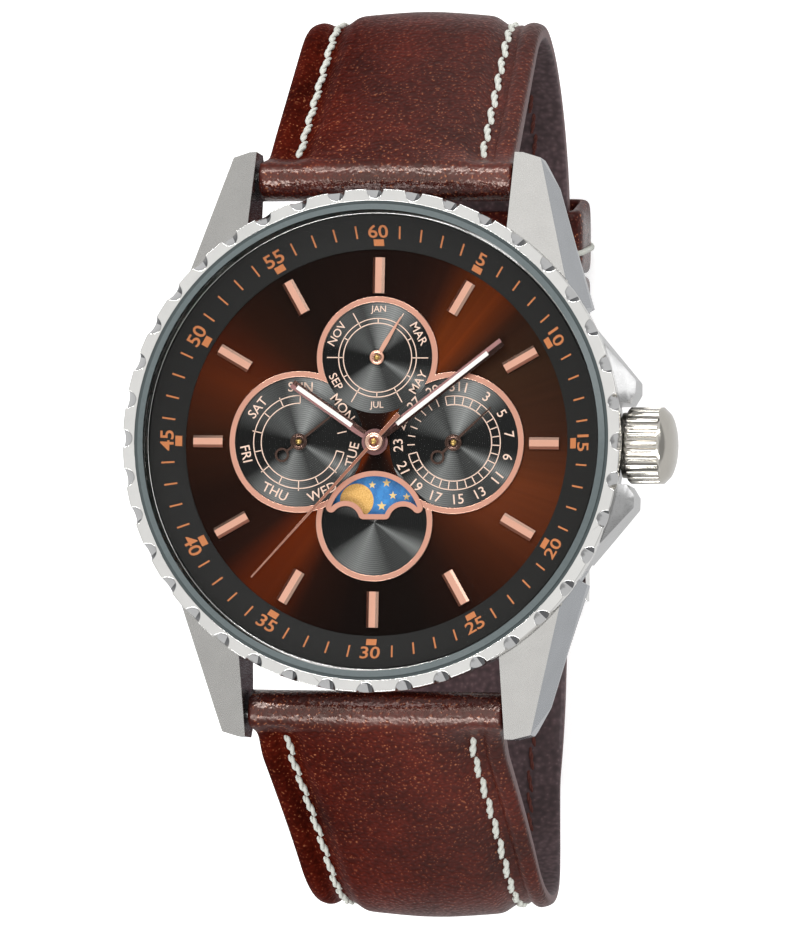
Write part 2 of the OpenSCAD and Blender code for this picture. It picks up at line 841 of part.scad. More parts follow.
module moon_window_frame() {
    color([0.85, 0.6, 0.5]) translate([0, 0, subdial_z]) linear_extrude(frame_h) difference() {
        offset(r = window_rim) window();
        offset(r = -window_lip) window();
    }
}

// Moon disc with two raised moons, each in a window's width of sky
module moon_disc() {
    color("steelblue") difference() {
        union() {
            disc(moon_disc_r, moon_disc_t, moon_disc_z, [0, -moon_y], $fn = 96);
            for (turn = [0, 180]) translate([0, -moon_y, moon_disc_z])
                rotate(turn + 131.3) translate([moon_orbit, 0, moon_disc_t])
                cylinder(r = moon_face_r, h = 0.03);
        }
        disc(small_arbor_r, far, 0, [0, -moon_y]);
    }
}

// Hands, each turned to its place at rest

// A two-sided bevelled baton along +Y, with a slot for its luminous strip
module baton(l, z, hub, bore, tip) {
    w = hand_w / 2;
    translate([0, 0, z]) difference() {
        union() {
            intersection() {
                linear_extrude(hand_t) polygon([
                    [-w * 0.7, 0], [w * 0.7, 0], [w, lume_from - 0.6],
                    [w, l], [-w, l], [-w, lume_from - 0.6]
                ]);
                translate([0, l, 0]) rotate([90, 0, 0]) linear_extrude(l) polygon([
                    [-w, 0], [w, 0], [w, hand_t * 0.4], [0, hand_t], [-w, hand_t * 0.4]
                ]);
            }
            cylinder(r = hub, h = hand_t);
        }
        translate([0, 0, -eps]) cylinder(r = bore, h = 1);
        translate([-lume_w / 2, lume_from, -eps])
            cube([lume_w, l - tip - lume_from, 1]);
    }
}

module lume_strip(z, strip_to) {
    translate([-lume_w / 2, lume_from, z]) cube([lume_w, strip_to - lume_from, hand_t * 0.85]);
}

module hour_hand() {
    color([0.8, 0.55, 0.45]) rotate(-hour_angle)
        baton(hour_l, hour_z, hour_hub_r, hour_pipe_r, hour_tip_l);
}

module hour_hand_lume() {
    color("white") rotate(-hour_angle) lume_strip(hour_z, hour_l - hour_tip_l);
}

module minute_hand() {
    color([0.8, 0.55, 0.45]) rotate(-minute_angle)
        baton(minute_l, minute_z, minute_hub_r, cannon_r, minute_tip_l);
}

module minute_hand_lume() {
    color("white") rotate(-minute_angle) lume_strip(minute_z, minute_l - minute_tip_l);
}

module seconds_hand() {
    color([0.85, 0.6, 0.5]) rotate(-seconds_angle) translate([0, 0, seconds_z]) difference() {
        union() {
            linear_extrude(seconds_t) polygon([
                [-0.22, -seconds_tail_l], [0.22, -seconds_tail_l],
                [0.16, 0], [0.07, seconds_l], [-0.07, seconds_l], [-0.16, 0]
            ]);
            cylinder(r = seconds_hub_r, h = seconds_t + 0.05);
        }
        translate([0, 0, -eps]) cylinder(r = seconds_arbor_r, h = 1);
    }
}

module month_hand() {
    color([0.8, 0.55, 0.45]) translate([0, month_y, small_hand_z]) rotate(-month_angle)
        difference() {
            union() {
                linear_extrude(small_hand_t) polygon([
                    [-0.14, 0], [0.14, 0], [0.2, 1.4], [0.04, month_l], [-0.04, month_l],
                    [-0.2, 1.4]
                ]);
                cylinder(r = 0.6, h = small_hand_t);
            }
            translate([0, 0, -eps]) cylinder(r = small_arbor_r, h = 1);
        }
}

// A needle with an open ring as its counterweight
module ring_hand(at, angle) {
    color([0.15, 0.13, 0.12]) translate([at, 0, small_hand_z]) rotate(-angle) difference() {
        union() {
            linear_extrude(small_hand_t) polygon([
                [-0.1, -1.3], [0.1, -1.3], [0.13, 0], [0.05, day_l], [-0.05, day_l], [-0.13, 0]
            ]);
            cylinder(r = 0.7, h = small_hand_t);
            translate([0, -1.8, 0]) cylinder(r = 0.6, h = small_hand_t);
        }
        translate([0, 0, -eps]) cylinder(r = small_arbor_r, h = 1);
        translate([0, -1.8, -eps]) cylinder(r = 0.42, h = 1);
    }
}

module day_hand() {
    ring_hand(-day_x, day_angle);
}

module date_hand() {
    ring_hand(date_x, date_angle);
}

// Calendar and moon wheels under the dial, each with its arbor

module calendar_wheel(at, teeth, top_z) {
    color("gold") {
        gear(teeth, calendar_module, motion_t, motion_z, at, 0);
        disc(small_arbor_r, top_z - motion_z, motion_z, at);
        disc(small_pivot_r, 0.7 + wheel_gap, plate_top_z - 0.7, at);
    }
}

module month_wheel() {
    calendar_wheel([0, month_y], month_teeth, small_hand_z + small_hand_t);
}

module day_wheel() {
    calendar_wheel([-day_x, 0], day_teeth, small_hand_z + small_hand_t);
}

module date_wheel() {
    calendar_wheel([date_x, 0], date_teeth, small_hand_z + small_hand_t);
}

module moon_wheel() {
    calendar_wheel([0, -moon_y], moon_teeth, moon_disc_z + moon_disc_t);
}

// Movement frame

module movement_holder() {
    color("ivory") difference() {
        tube(dial_r, plate_r + seat_gap, dial_under_z - back_t - back_register_h,
            back_t + back_register_h);
        rod(1.1, far, 0, crown_z);
    }
}

module at_axes() {
    for (at = [intermediate_at, rotor_at, third_at]) translate([at[0], at[1], 0]) children();
}

module main_plate() {
    color("goldenrod") difference() {
        union() {
            disc(plate_r, plate_t, plate_z);
            tube(plate_r, plate_r - 0.6, work_h, plate_top_z);
            disc(0.2, lever_t + wheel_gap + 0.05, plate_top_z, [lever_x, lever_arm]);
        }
        disc(cannon_r + pivot_gap, far, 0);
        at_axes() cylinder(r = arbor_r + pivot_gap, h = plate_z + 0.4);
        disc(small_pivot_r + pivot_gap, far, plate_z + 0.2, minute_at);
        for (at = [[0, month_y], [-day_x, 0], [date_x, 0], [0, -moon_y]])
            disc(small_pivot_r + pivot_gap, far, plate_z + 0.2, at);
        for (side = [-1, 1]) disc(foot_r + seat_gap, far, 0, side * [foot_at, -foot_at]);
        for (at = pillars) disc(pillar_screw_r, 0.6, plate_z - eps, at);
        translate([stem_in_x - 1.9, -clutch_r - 0.15, crown_z - clutch_r - 0.15])
            cube([far, 2 * clutch_r + 0.3, far]);
    }
}

module train_bridge() {
    color("lightgray") difference() {
        union() {
            translate([0, 0, bridge_z]) linear_extrude(bridge_t) polygon([
                [-5.4, 1.6], [-4.6, 5.6], [-1.6, 6.0], [5.6, 4.4], [5.6, 1.8],
                [4.2, -6.4], [1.6, -6.4], [-1.6, -1.6], [-2.6, 0.1], [-4.4, 0.6]
            ]);
            for (at = pillars) disc(pillar_r, plate_z - bridge_top_z, bridge_top_z, at);
        }
        at_axes() cylinder(r = arbor_r + pivot_gap, h = bridge_top_z);
        disc(seconds_arbor_r + pivot_gap, bridge_top_z, 0);
        for (at = pillars) disc(pillar_screw_r, far, 0, at);
    }
}

module bridge_screws() {
    color("steelblue") for (at = pillars) difference() {
        union() {
            disc(pillar_screw_r, plate_z + 0.5 - bridge_z, bridge_z, at);
            disc(2 * pillar_screw_r, 0.2, bridge_z - 0.2, at);
        }
        translate([at[0] - 0.08, at[1] - 1, bridge_z - 0.3]) cube([0.16, 2, 0.22]);
    }
}

// Train wheels, each with its arbor and pinion

module arbor(r, at, z0 = bridge_z + 0.05, z1 = plate_z + 0.35) {
    disc(r, z1 - z0, z0, at);
}

module rotor() {
    color("dimgray") {
        disc(rotor_r, rotor_h, rotor_z, rotor_at);
        gear(rotor_teeth, train_module, 0.4, third_wheel_z - 0.08, rotor_at, rotor_dir + 180);
        arbor(arbor_r, rotor_at);
    }
}

module intermediate_wheel() {
    color("gold") {
        gear(intermediate_teeth, train_module, wheel_t, third_wheel_z + 0.02,
            intermediate_at, rotor_dir, true);
        gear(intermediate_leaves, train_module, 0.4, bridge_top_z + 0.1,
            intermediate_at, rotor_dir + 180);
        arbor(arbor_r, intermediate_at);
    }
}

module seconds_wheel() {
    color("gold") {
        gear(seconds_teeth, train_module, wheel_t, seconds_wheel_z, [0, 0], rotor_dir, true);
        gear(seconds_leaves, third_module, 0.3, third_wheel_z - 0.08, [0, 0], third_dir);
        arbor(seconds_arbor_r, [0, 0], bridge_z + 0.05, seconds_z + seconds_t);
    }
}

module third_wheel() {
    color("gold") {
        gear(third_teeth, third_module, wheel_t, third_wheel_z, third_at, third_dir + 180, true);
        gear(third_leaves, centre_module, 0.3, centre_wheel_z - 0.08, third_at, third_dir + 180);
        arbor(arbor_r, third_at);
    }
}

module cannon_pinion() {
    color("gold") difference() {
        union() {
            gear(centre_teeth, centre_module, wheel_t, centre_wheel_z, [0, 0], third_dir, true);
            gear(cannon_teeth, minute_module, motion_t, motion_z, [0, 0], minute_dir);
            disc(cannon_r, minute_z + hand_t - centre_wheel_z, centre_wheel_z);
        }
        disc(cannon_bore_r, far, 0);
    }
}

module minute_wheel() {
    color("gold") {
        gear(minute_teeth, minute_module, motion_t, motion_z, minute_at, minute_dir + 180, true);
        gear(minute_leaves, hour_module, 2 * motion_t + wheel_gap, motion_z, minute_at,
            minute_dir + 180);
        disc(small_pivot_r, 0.7 + wheel_gap, plate_top_z - 0.7, minute_at);
    }
}

module hour_wheel() {
    color("gold") difference() {
        union() {
            gear(hour_teeth, hour_module, motion_t, hour_wheel_z, [0, 0], minute_dir, true);
            disc(hour_pipe_r, hour_z + hand_t - hour_wheel_z, hour_wheel_z);
        }
        disc(cannon_r + pivot_gap, far, 0);
    }
}

// Electrics on the back of the movement

module battery() {
    color("silver") disc(battery_r, battery_t, plate_z - battery_t, battery_at);
}

module battery_clip() {
    clip_z = plate_z - battery_t - clip_t;
    color("gold") {
        translate([battery_at[0], battery_at[1], clip_z])
            rotate(battery_dir) translate([-battery_r - 1.2, -1, 0])
            cube([battery_r + 2.4, 2, clip_t]);
        translate([battery_at[0], battery_at[1], clip_z])
            rotate(battery_dir + 180) translate([battery_r + 0.15, -1, 0])
            cube([0.25, 2, plate_z - clip_z]);
    }
}

module circuit_board() {
    color("darkgreen") translate([0, 0, plate_z - board_t]) linear_extrude(board_t)
        difference() {
            intersection() {
                circle(r = plate_r - 0.5);
                polygon([[0, 0], [far, -far], [far, far], [-far * 0.8, far]]);
            }
            circle(r = intermediate_gap + rotor_gap + 1);
            for (at = pillars) translate(at) circle(r = pillar_r + 0.1);
            translate([stem_in_x - 2, -clutch_r - 0.3]) square([far, 2 * clutch_r + 0.6]);
        }
}

module quartz_can() {
    color("silver") translate([can_at[0], can_at[1], plate_z - board_t - can_r])
        rotate([-90, 0, 30]) cylinder(r = can_r, h = can_l);
}

module control_chip() {
    color("black") translate([chip_at[0], chip_at[1], plate_z - board_t - chip_size[2]])
        cube(chip_size);
}

module coil_core() {
    color("gray") translate([coil_at[0] - core_l / 2, coil_at[1] - core_w / 2,
        coil_z - core_t / 2]) cube([core_l, core_w, core_t]);
}

module coil_winding() {
    color("peru") difference() {
        rod(coil_r, coil_l, coil_at[0] - coil_l / 2, coil_z, coil_at[1]);
        translate([-far / 2, coil_at[1] - core_w / 2, coil_z - core_t / 2])
            cube([far, core_w, core_t]);
    }
}

module stator() {
    end_x = core_l / 2 - 0.5;
    arm_y = coil_at[1] - coil_r - 0.1;
    pad_y = coil_at[1] + core_w / 2;
    color("lightslategray") translate([0, 0, stator_z]) linear_extrude(stator_t)
        difference() {
            union() {
                translate(rotor_at) circle(r = 1.3);
                polygon([
                    rotor_at + [-1.3, 0], rotor_at + [1.3, 0], rotor_at + [1.6, 1.8],
                    [coil_at[0] + end_x + 0.5, arm_y - 0.4],
                    [coil_at[0] + end_x + 0.5, pad_y],
                    [coil_at[0] + end_x - 0.5, pad_y],
                    [coil_at[0] + end_x - 0.5, arm_y],
                    rotor_at + [0.6, 2.7], rotor_at + [-0.6, 2.7],
                    [coil_at[0] - end_x + 0.5, arm_y],
                    [coil_at[0] - end_x + 0.5, pad_y],
                    [coil_at[0] - end_x - 0.5, pad_y],
                    [coil_at[0] - end_x - 0.5, arm_y - 0.4],
                    rotor_at + [-1.6, 1.8]
                ]);
            }
            translate(rotor_at) circle(r = stator_hole_r);
        }
}

// Strap halves: an outline in the YZ plane, cut to width in the XZ plane

module strap_width(lean) {
    drop = roll_low_z - upper_out_z;
    full = strap_w / 2 - roll_flare;
    run = [for (i = [0:width_steps]) let (t = i / width_steps)
        [full * (1 - t) + strap_end_w / 2 * t, lean * sin(180 * t), roll_low_z - drop * t]];
    ends = concat(
        [[strap_w / 2, 0, bar_z + 8], [strap_w / 2, 0, bar_z]],
        run,
        [[strap_end_w / 2, 0, loop_low_z - 2]]
    );
    translate([0, far, 0]) rotate([90, 0, 0]) linear_extrude(2 * far) polygon(concat(
        [for (e = ends) [e[1] + e[0], e[2]]],
        flip([for (e = ends) [e[1] - e[0], e[2]]])
    ));
}

// Outer face of a strap half, from under its roll to the start of its flat
function strap_outer(back, out_r) =
    let (meet = heading(back, turn_at))
    concat(
        arc([bar_y, bar_z], strap_roll_r, -90, -270 - strap_slope, 14),
        arc(turn_at, turn_r, 90 - strap_slope, meet),
        arc(back, out_r, meet, -90)
    );

// Inner face, from the flat back to the end of the straight run from the roll
function strap_inner(back, out_r, t) =
    let (
        meet = heading(back, turn_at),
        roll_low = [bar_y, roll_low_z],
        lift = asin((turn_r - t) / norm(turn_at - roll_low)) + 90
    )
    flip(concat(
        arc(turn_at, turn_r - t, heading(roll_low, turn_at) + lift, meet),
        arc(back, out_r - t, meet, -90)
    ));

module strap_upper() {
    color([0.35, 0.15, 0.1]) difference() {
        intersection() {
            across(-far, far) polygon(concat(
                strap_outer(upper_back, upper_out_r),
                arc([heel_y, heel_z], upper_t / 2, -90, -270, 8),
                strap_inner(upper_back, upper_out_r, upper_t)
            ));
            strap_width(0);
        }
        rod(tunnel_r, 2 * far, -far, bar_z, bar_y);
        rod(heel_r + pivot_gap, 2 * far, -far, heel_z, heel_y);
        translate([-tang_slot_w / 2, heel_y - far, heel_z - far / 2])
            cube([tang_slot_w, far + 2.2, far]);
    }
}

// The lower half has its buckle holes, and its tail lies over the upper half
module strap_lower() {
    tail_centre = [-upper_back[0], upper_centre_z];
    color([0.35, 0.15, 0.1]) difference() {
        intersection() {
            mirror([0, 1, 0]) across(-far, far) polygon(concat(
                strap_outer(lower_back, lower_out_r),
                arc(tail_centre, tail_out_r, -90, -90 - tail_angle, 4),
                flip(arc(tail_centre, tail_in_r, -90, -90 - tail_angle, 4)),
                strap_inner(lower_back, lower_out_r, lower_t)
            ));
            strap_width(lower_lean);
        }
        rod(tunnel_r, 2 * far, -far, bar_z, -bar_y);
        for (i = [-2:3])
            translate([0, tang_hole_y + i * hole_pitch, lower_out_z - 1])
            cylinder(r = hole_r, h = lower_t + 2);
    }
}

module spring_bar(y) {
    body_l = strap_w - 0.1;
    color("silver") {
        rod(bar_r, body_l, -body_l / 2, bar_z, y);
        rod(bar_tip_r, lug_gap + 2 * bar_tip_l, -lug_gap / 2 - bar_tip_l, bar_z, y);
    }
}

module spring_bar_upper() {
    spring_bar(bar_y);
}

module spring_bar_lower() {
    spring_bar(-bar_y);
}

// Keepers: bands of leather round both strap layers

module keeper_fixed() {
    top_z = upper_in_z + leather_gap;
    low_z = lower_out_z - leather_gap;
    color([0.4, 0.17, 0.11]) difference() {
        translate([-side_w - keeper_t, fixed_keeper_y, low_z - keeper_t])
            cube([2 * (side_w + keeper_t), keeper_l, top_z - low_z + 2 * keeper_t]);
        translate([-side_w, fixed_keeper_y - 1, low_z])
            cube([2 * side_w, keeper_l + 2, top_z - low_z]);
    }
}

module keeper_band(w, r0, r1, a0, a1) {
    across(-w, w) polygon(concat(
        arc(upper_back, r1, a0 - 90, a1 - 90, 6),
        flip(arc(upper_back, r0, a0 - 90, a1 - 90, 6))
    ));
}

module keeper_sliding() {
    color([0.4, 0.17, 0.11]) difference() {
        keeper_band(side_w + keeper_t, keeper_in_r - keeper_t, keeper_out_r + keeper_t,
            keeper_start, keeper_start + keeper_angle);
        keeper_band(side_w, keeper_in_r, keeper_out_r, keeper_start - 5,
            keeper_start + keeper_angle + 5);
    }
}

// Buckle: frame with an eye at each end of its spring bar, front bar, and a tang that
// drops through a hole of the lower half onto the front bar

module buckle_frame() {
    eye_r = heel_r + 0.8;
    front_top_z = lower_out_z - leather_gap;
    color("silver") difference() {
        union() {
            for (side = [-1, 1]) translate([side * (buckle_x + buckle_arm_t / 2), 0, 0])
                across(-buckle_arm_t / 2, buckle_arm_t / 2) {
                    translate([heel_y, heel_z]) circle(r = eye_r);
                    polygon([
                        [heel_y - 0.2, heel_z + eye_r],
                        [heel_y + 0.6, heel_z - eye_r + 0.1],
                        [front_y + buckle_bar_w / 2, loop_low_z],
                        [front_y - buckle_bar_w / 2, loop_low_z],
                        [front_y - buckle_bar_w / 2, front_top_z + 0.6]
                    ]);
                }
            across(-buckle_x - buckle_arm_t / 2, buckle_x + buckle_arm_t / 2) polygon([
                [front_y - buckle_bar_w / 2, loop_low_z],
                [front_y + buckle_bar_w / 2, loop_low_z],
                [front_y + buckle_bar_w / 2 - 0.2, front_top_z],
                [front_y - buckle_bar_w / 2, front_top_z]
            ]);
        }
        rod(bar_tip_r + pivot_gap, 2 * (buckle_x + 0.9), -buckle_x - 0.9, heel_z, heel_y);
        translate([-tang_w / 2 - 0.15, front_y - far / 2, loop_low_z - 1])
            cube([tang_w + 0.3, far, 1 + tang_t + 0.1]);
    }
}

module buckle_tang() {
    low_z = loop_low_z + 0.05;
    color("silver") difference() {
        union() {
            rod(heel_r + 0.45, tang_w, -tang_w / 2, heel_z, heel_y);
            across(-tang_w / 2, tang_w / 2) polygon([
                [heel_y, heel_z + heel_r + 0.4],
                [heel_y, lower_in_z + leather_gap],
                [tang_hole_y + tang_t / 2, lower_in_z + leather_gap],
                [tang_hole_y + tang_t / 2, low_z],
                [front_y - buckle_bar_w / 2 - 0.1, low_z],
                [front_y - buckle_bar_w / 2 - 0.1, low_z + tang_t * 0.6],
                [front_y + buckle_bar_w / 2, low_z + tang_t],
                [tang_hole_y - tang_t / 2, low_z + tang_t],
                [tang_hole_y - tang_t / 2, lower_in_z + leather_gap + tang_t]
            ]);
        }
        rod(heel_r + pivot_gap, 2 * far, -far, heel_z, heel_y);
    }
}

module buckle_bar() {
    body_l = 2 * buckle_x - 0.1;
    tip_l = 0.8;
    color("silver") {
        rod(heel_r, body_l, -body_l / 2, heel_z, heel_y);
        rod(bar_tip_r, body_l + 2 * tip_l, -body_l / 2 - tip_l, heel_z, heel_y);
    }
}

case_middle();
bezel();
crystal();
crystal_gasket();
chapter_ring();
case_back();
case_back_gasket();
case_back_screws();
crown_tube();
crown();
crown_gasket();
winding_stem();
clutch_wheel();
setting_lever();
dial_plate();
hour_markers();
subdial_frame();
subdial_plates();
moon_window_frame();
moon_disc();
moon_wheel();
hour_hand();
hour_hand_lume();
minute_hand();
minute_hand_lume();
seconds_hand();
month_hand();
day_hand();
date_hand();
month_wheel();
day_wheel();
date_wheel();
movement_holder();
main_plate();
train_bridge();
bridge_screws();
battery();
battery_clip();
circuit_board();
quartz_can();
control_chip();
coil_core();
coil_winding();
stator();
rotor();
intermediate_wheel();
third_wheel();
seconds_wheel();
cannon_pinion();
minute_wheel();
hour_wheel();
strap_upper();
strap_lower();
spring_bar_upper();
spring_bar_lower();
keeper_fixed();
keeper_sliding();
buckle_frame();
buckle_tang();
buckle_bar();
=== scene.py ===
"""The looks of a quartz calendar watch on a padded leather strap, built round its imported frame.

The frame is in metres, and so is everything that this script makes. Sizes are written in
millimetres and turned into metres by MM. The watch lies dial up: +Z runs out through the
crystal, +Y to 12 o'clock and +X to the crown. Angles on the dial run clockwise from 12.
"""
import logging
import math
from dataclasses import dataclass, field
from enum import Enum
from typing import Callable, Iterable, Optional, Sequence

import bpy
import numpy as np
from mathutils import Matrix, Vector


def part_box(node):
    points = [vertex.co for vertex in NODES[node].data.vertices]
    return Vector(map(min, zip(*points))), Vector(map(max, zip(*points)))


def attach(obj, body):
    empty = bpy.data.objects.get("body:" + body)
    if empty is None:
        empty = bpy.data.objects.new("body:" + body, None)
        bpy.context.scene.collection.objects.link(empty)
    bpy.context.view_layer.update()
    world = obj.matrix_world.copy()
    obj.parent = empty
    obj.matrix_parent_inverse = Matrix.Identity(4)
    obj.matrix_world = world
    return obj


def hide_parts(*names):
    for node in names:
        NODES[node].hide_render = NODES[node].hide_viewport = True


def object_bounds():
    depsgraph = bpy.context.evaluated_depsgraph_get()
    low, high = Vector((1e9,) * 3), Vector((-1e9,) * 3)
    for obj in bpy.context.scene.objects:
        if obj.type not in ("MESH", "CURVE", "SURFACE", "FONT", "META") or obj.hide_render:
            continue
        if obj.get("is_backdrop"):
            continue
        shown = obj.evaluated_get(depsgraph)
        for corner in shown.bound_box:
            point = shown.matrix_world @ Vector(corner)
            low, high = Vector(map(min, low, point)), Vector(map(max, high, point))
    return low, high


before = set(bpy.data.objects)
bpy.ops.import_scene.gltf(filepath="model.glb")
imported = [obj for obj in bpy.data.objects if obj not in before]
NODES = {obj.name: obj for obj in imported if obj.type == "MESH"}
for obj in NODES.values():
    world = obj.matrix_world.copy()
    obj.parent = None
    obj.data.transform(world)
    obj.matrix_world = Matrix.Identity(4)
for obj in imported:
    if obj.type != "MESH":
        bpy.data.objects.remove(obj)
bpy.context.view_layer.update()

MM = 0.001
LOG = logging.getLogger("watch")
Colour = tuple[float, float, float]
Point = tuple[float, float, float]
Pair = tuple[float, float]
Place = Callable[[float, float, float], Point]
Socket = bpy.types.NodeSocket

# Points of one seam lie within this many millimetres of each other
SEAM = 0.0005

# Print, in millimetres over its ground: it starts a little below it, so that no gap shows
PRINT_FOOT = -0.004
PRINT_TOP = 0.02
FINE_PRINT_TOP = 0.015


def rgb(red: int, green: int, blue: int) -> Colour:
    """A colour from its display values, as the linear values that shaders take.

    Args:
        red: Red, 0 to 255.
        green: Green, 0 to 255.
        blue: Blue, 0 to 255.

    Returns:
        The three linear values, 0 to 1.
    """
    def linear(value: float) -> float:
        """One channel of it."""
        return value / 12.92 if value <= 0.04045 else ((value + 0.055) / 1.055) ** 2.4
    return linear(red / 255), linear(green / 255), linear(blue / 255)


def smooth(low: float, high: float, value: float | np.ndarray) -> np.ndarray:
    """A soft step from 0 at low to 1 at high, for a number or an array."""
    t = np.clip((np.asarray(value, float) - low) / (high - low), 0, 1)
    return t * t * (3 - 2 * t)


def box_mm(node: str) -> tuple[Vector, Vector]:
    """A node's lowest and highest corner, in millimetres."""
    low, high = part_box(node)
    return low / MM, high / MM


class Body(str, Enum):
    """The bodies that pieces made here ride on."""

    CASE = "case"
    SECONDS = "seconds_work"
    MONTH = "month_work"
    WEEKDAY = "weekday_work"
    DATE = "date_work"
    MOON = "moon_work"
    KEEPER = "keeper_loose"


class Slot(str, Enum):
    """The record's material slots named with the pieces made here; nothing here gives them to the
    pieces.
    """

    LEATHER = "strap_leather"
    COPPER_PRINT = "chapter_dark"
    DIAL_PRINT = "subdial_black"
    MOON = "moon_blue"
    ROSE = "rose_gold"


class Grain(Enum):
    """How a metal surface is finished."""

    POLISHED = "polished"
    SATIN = "satin"
    ALONG_X = "brushed along x"
    ALONG_Y = "brushed along y"
    ALONG_Z = "brushed along z"
    CIRCULAR = "turned"


class Nodes:
    """A node tree, with short calls for the nodes that the finishes and the room share."""

    def __init__(self, tree: bpy.types.NodeTree) -> None:
        """Keeps the tree that the calls add to."""
        self.tree = tree

    def node(self, kind: str, **inputs: object) -> bpy.types.Node:
        """A new node of a kind, with its inputs linked or set.

        Args:
            kind: The node's type without its ShaderNode prefix.
            **inputs: A value or an output socket for each named input.

        Returns:
            The node.
        """
        made = self.tree.nodes.new("ShaderNode" + kind)
        for name, value in inputs.items():
            self.feed(made.inputs[name.replace("_", " ")], value)
        return made

    def join(self, kind: str, *values: object) -> Socket:
        """A new node of a kind, with its inputs filled in their order.

        Args:
            kind: The node's type without its ShaderNode prefix.
            *values: A value or an output socket for each input.

        Returns:
            The node's first output.
        """
        made = self.tree.nodes.new("ShaderNode" + kind)
        for socket, value in zip(made.inputs, values):
            self.feed(socket, value)
        return made.outputs[0]

    def feed(self, socket: Socket, value: object) -> None:
        """Links an output to a socket, or sets the socket's own value.

        Args:
            socket: The input socket.
            value: An output socket, a colour, a vector or a number.
        """
        if isinstance(value, Socket):
            self.tree.links.new(value, socket)
        elif isinstance(value, tuple) and len(value) == 3 and socket.type == "RGBA":
            socket.default_value = (*value, 1)
        else:
            socket.default_value = value

    def maths(self, kind: str, first: object, second: object = 0.0) -> Socket:
        """A maths node's result.

        Args:
            kind: The operation.
            first: Its first value.
            second: Its second value, if it takes one.

        Returns:
            The result.
        """
        made = self.tree.nodes.new("ShaderNodeMath")
        made.operation = kind
        self.feed(made.inputs[0], first)
        self.feed(made.inputs[1], second)
        return made.outputs[0]

    def vector(self, kind: str, first: object,
               second: object = (0.0, 0.0, 0.0)) -> bpy.types.Node:
        """A vector maths node.

        Args:
            kind: The operation.
            first: Its first vector.
            second: Its second vector, if it takes one.

        Returns:
            The node.
        """
        made = self.tree.nodes.new("ShaderNodeVectorMath")
        made.operation = kind
        self.feed(made.inputs[0], first)
        self.feed(made.inputs[1], second)
        return made

    def remap(self, value: object, given: Pair, wanted: Pair) -> Socket:
        """A value brought from one range to another, and held inside it."""
        return self.node("MapRange", Value=value, From_Min=given[0], From_Max=given[1],
                         To_Min=wanted[0], To_Max=wanted[1]).outputs[0]

    def ramp(self, value: object, stops: Sequence[tuple[float, object]]) -> Socket:
        """Colours or greys along a value from 0 to 1.

        Args:
            value: The value.
            stops: Places along it, each with its colour or its grey.

        Returns:
            The colour at the value.
        """
        made = self.node("ValToRGB", Fac=value)
        marks = made.color_ramp.elements
        while len(marks) < len(stops):
            marks.new(1.0)
        for mark, (position, colour) in zip(marks, stops):
            mark.position = position
            grey = isinstance(colour, (int, float))
            mark.color = (colour,) * 3 + (1,) if grey else (*colour, 1)
        return made.outputs["Color"]

    def blend(self, share: object, first: object, second: object, kind: str = "MIX") -> Socket:
        """A mix of two colours.

        Args:
            share: How much of the second one shows, 0 to 1.
            first: The first colour.
            second: The second colour.
            kind: How they are mixed.

        Returns:
            The mixed colour.
        """
        made = self.tree.nodes.new("ShaderNodeMix")
        made.data_type = "RGBA"
        made.blend_type = kind
        self.feed(made.inputs[0], share)
        self.feed(made.inputs[6], first)
        self.feed(made.inputs[7], second)
        return made.outputs[2]


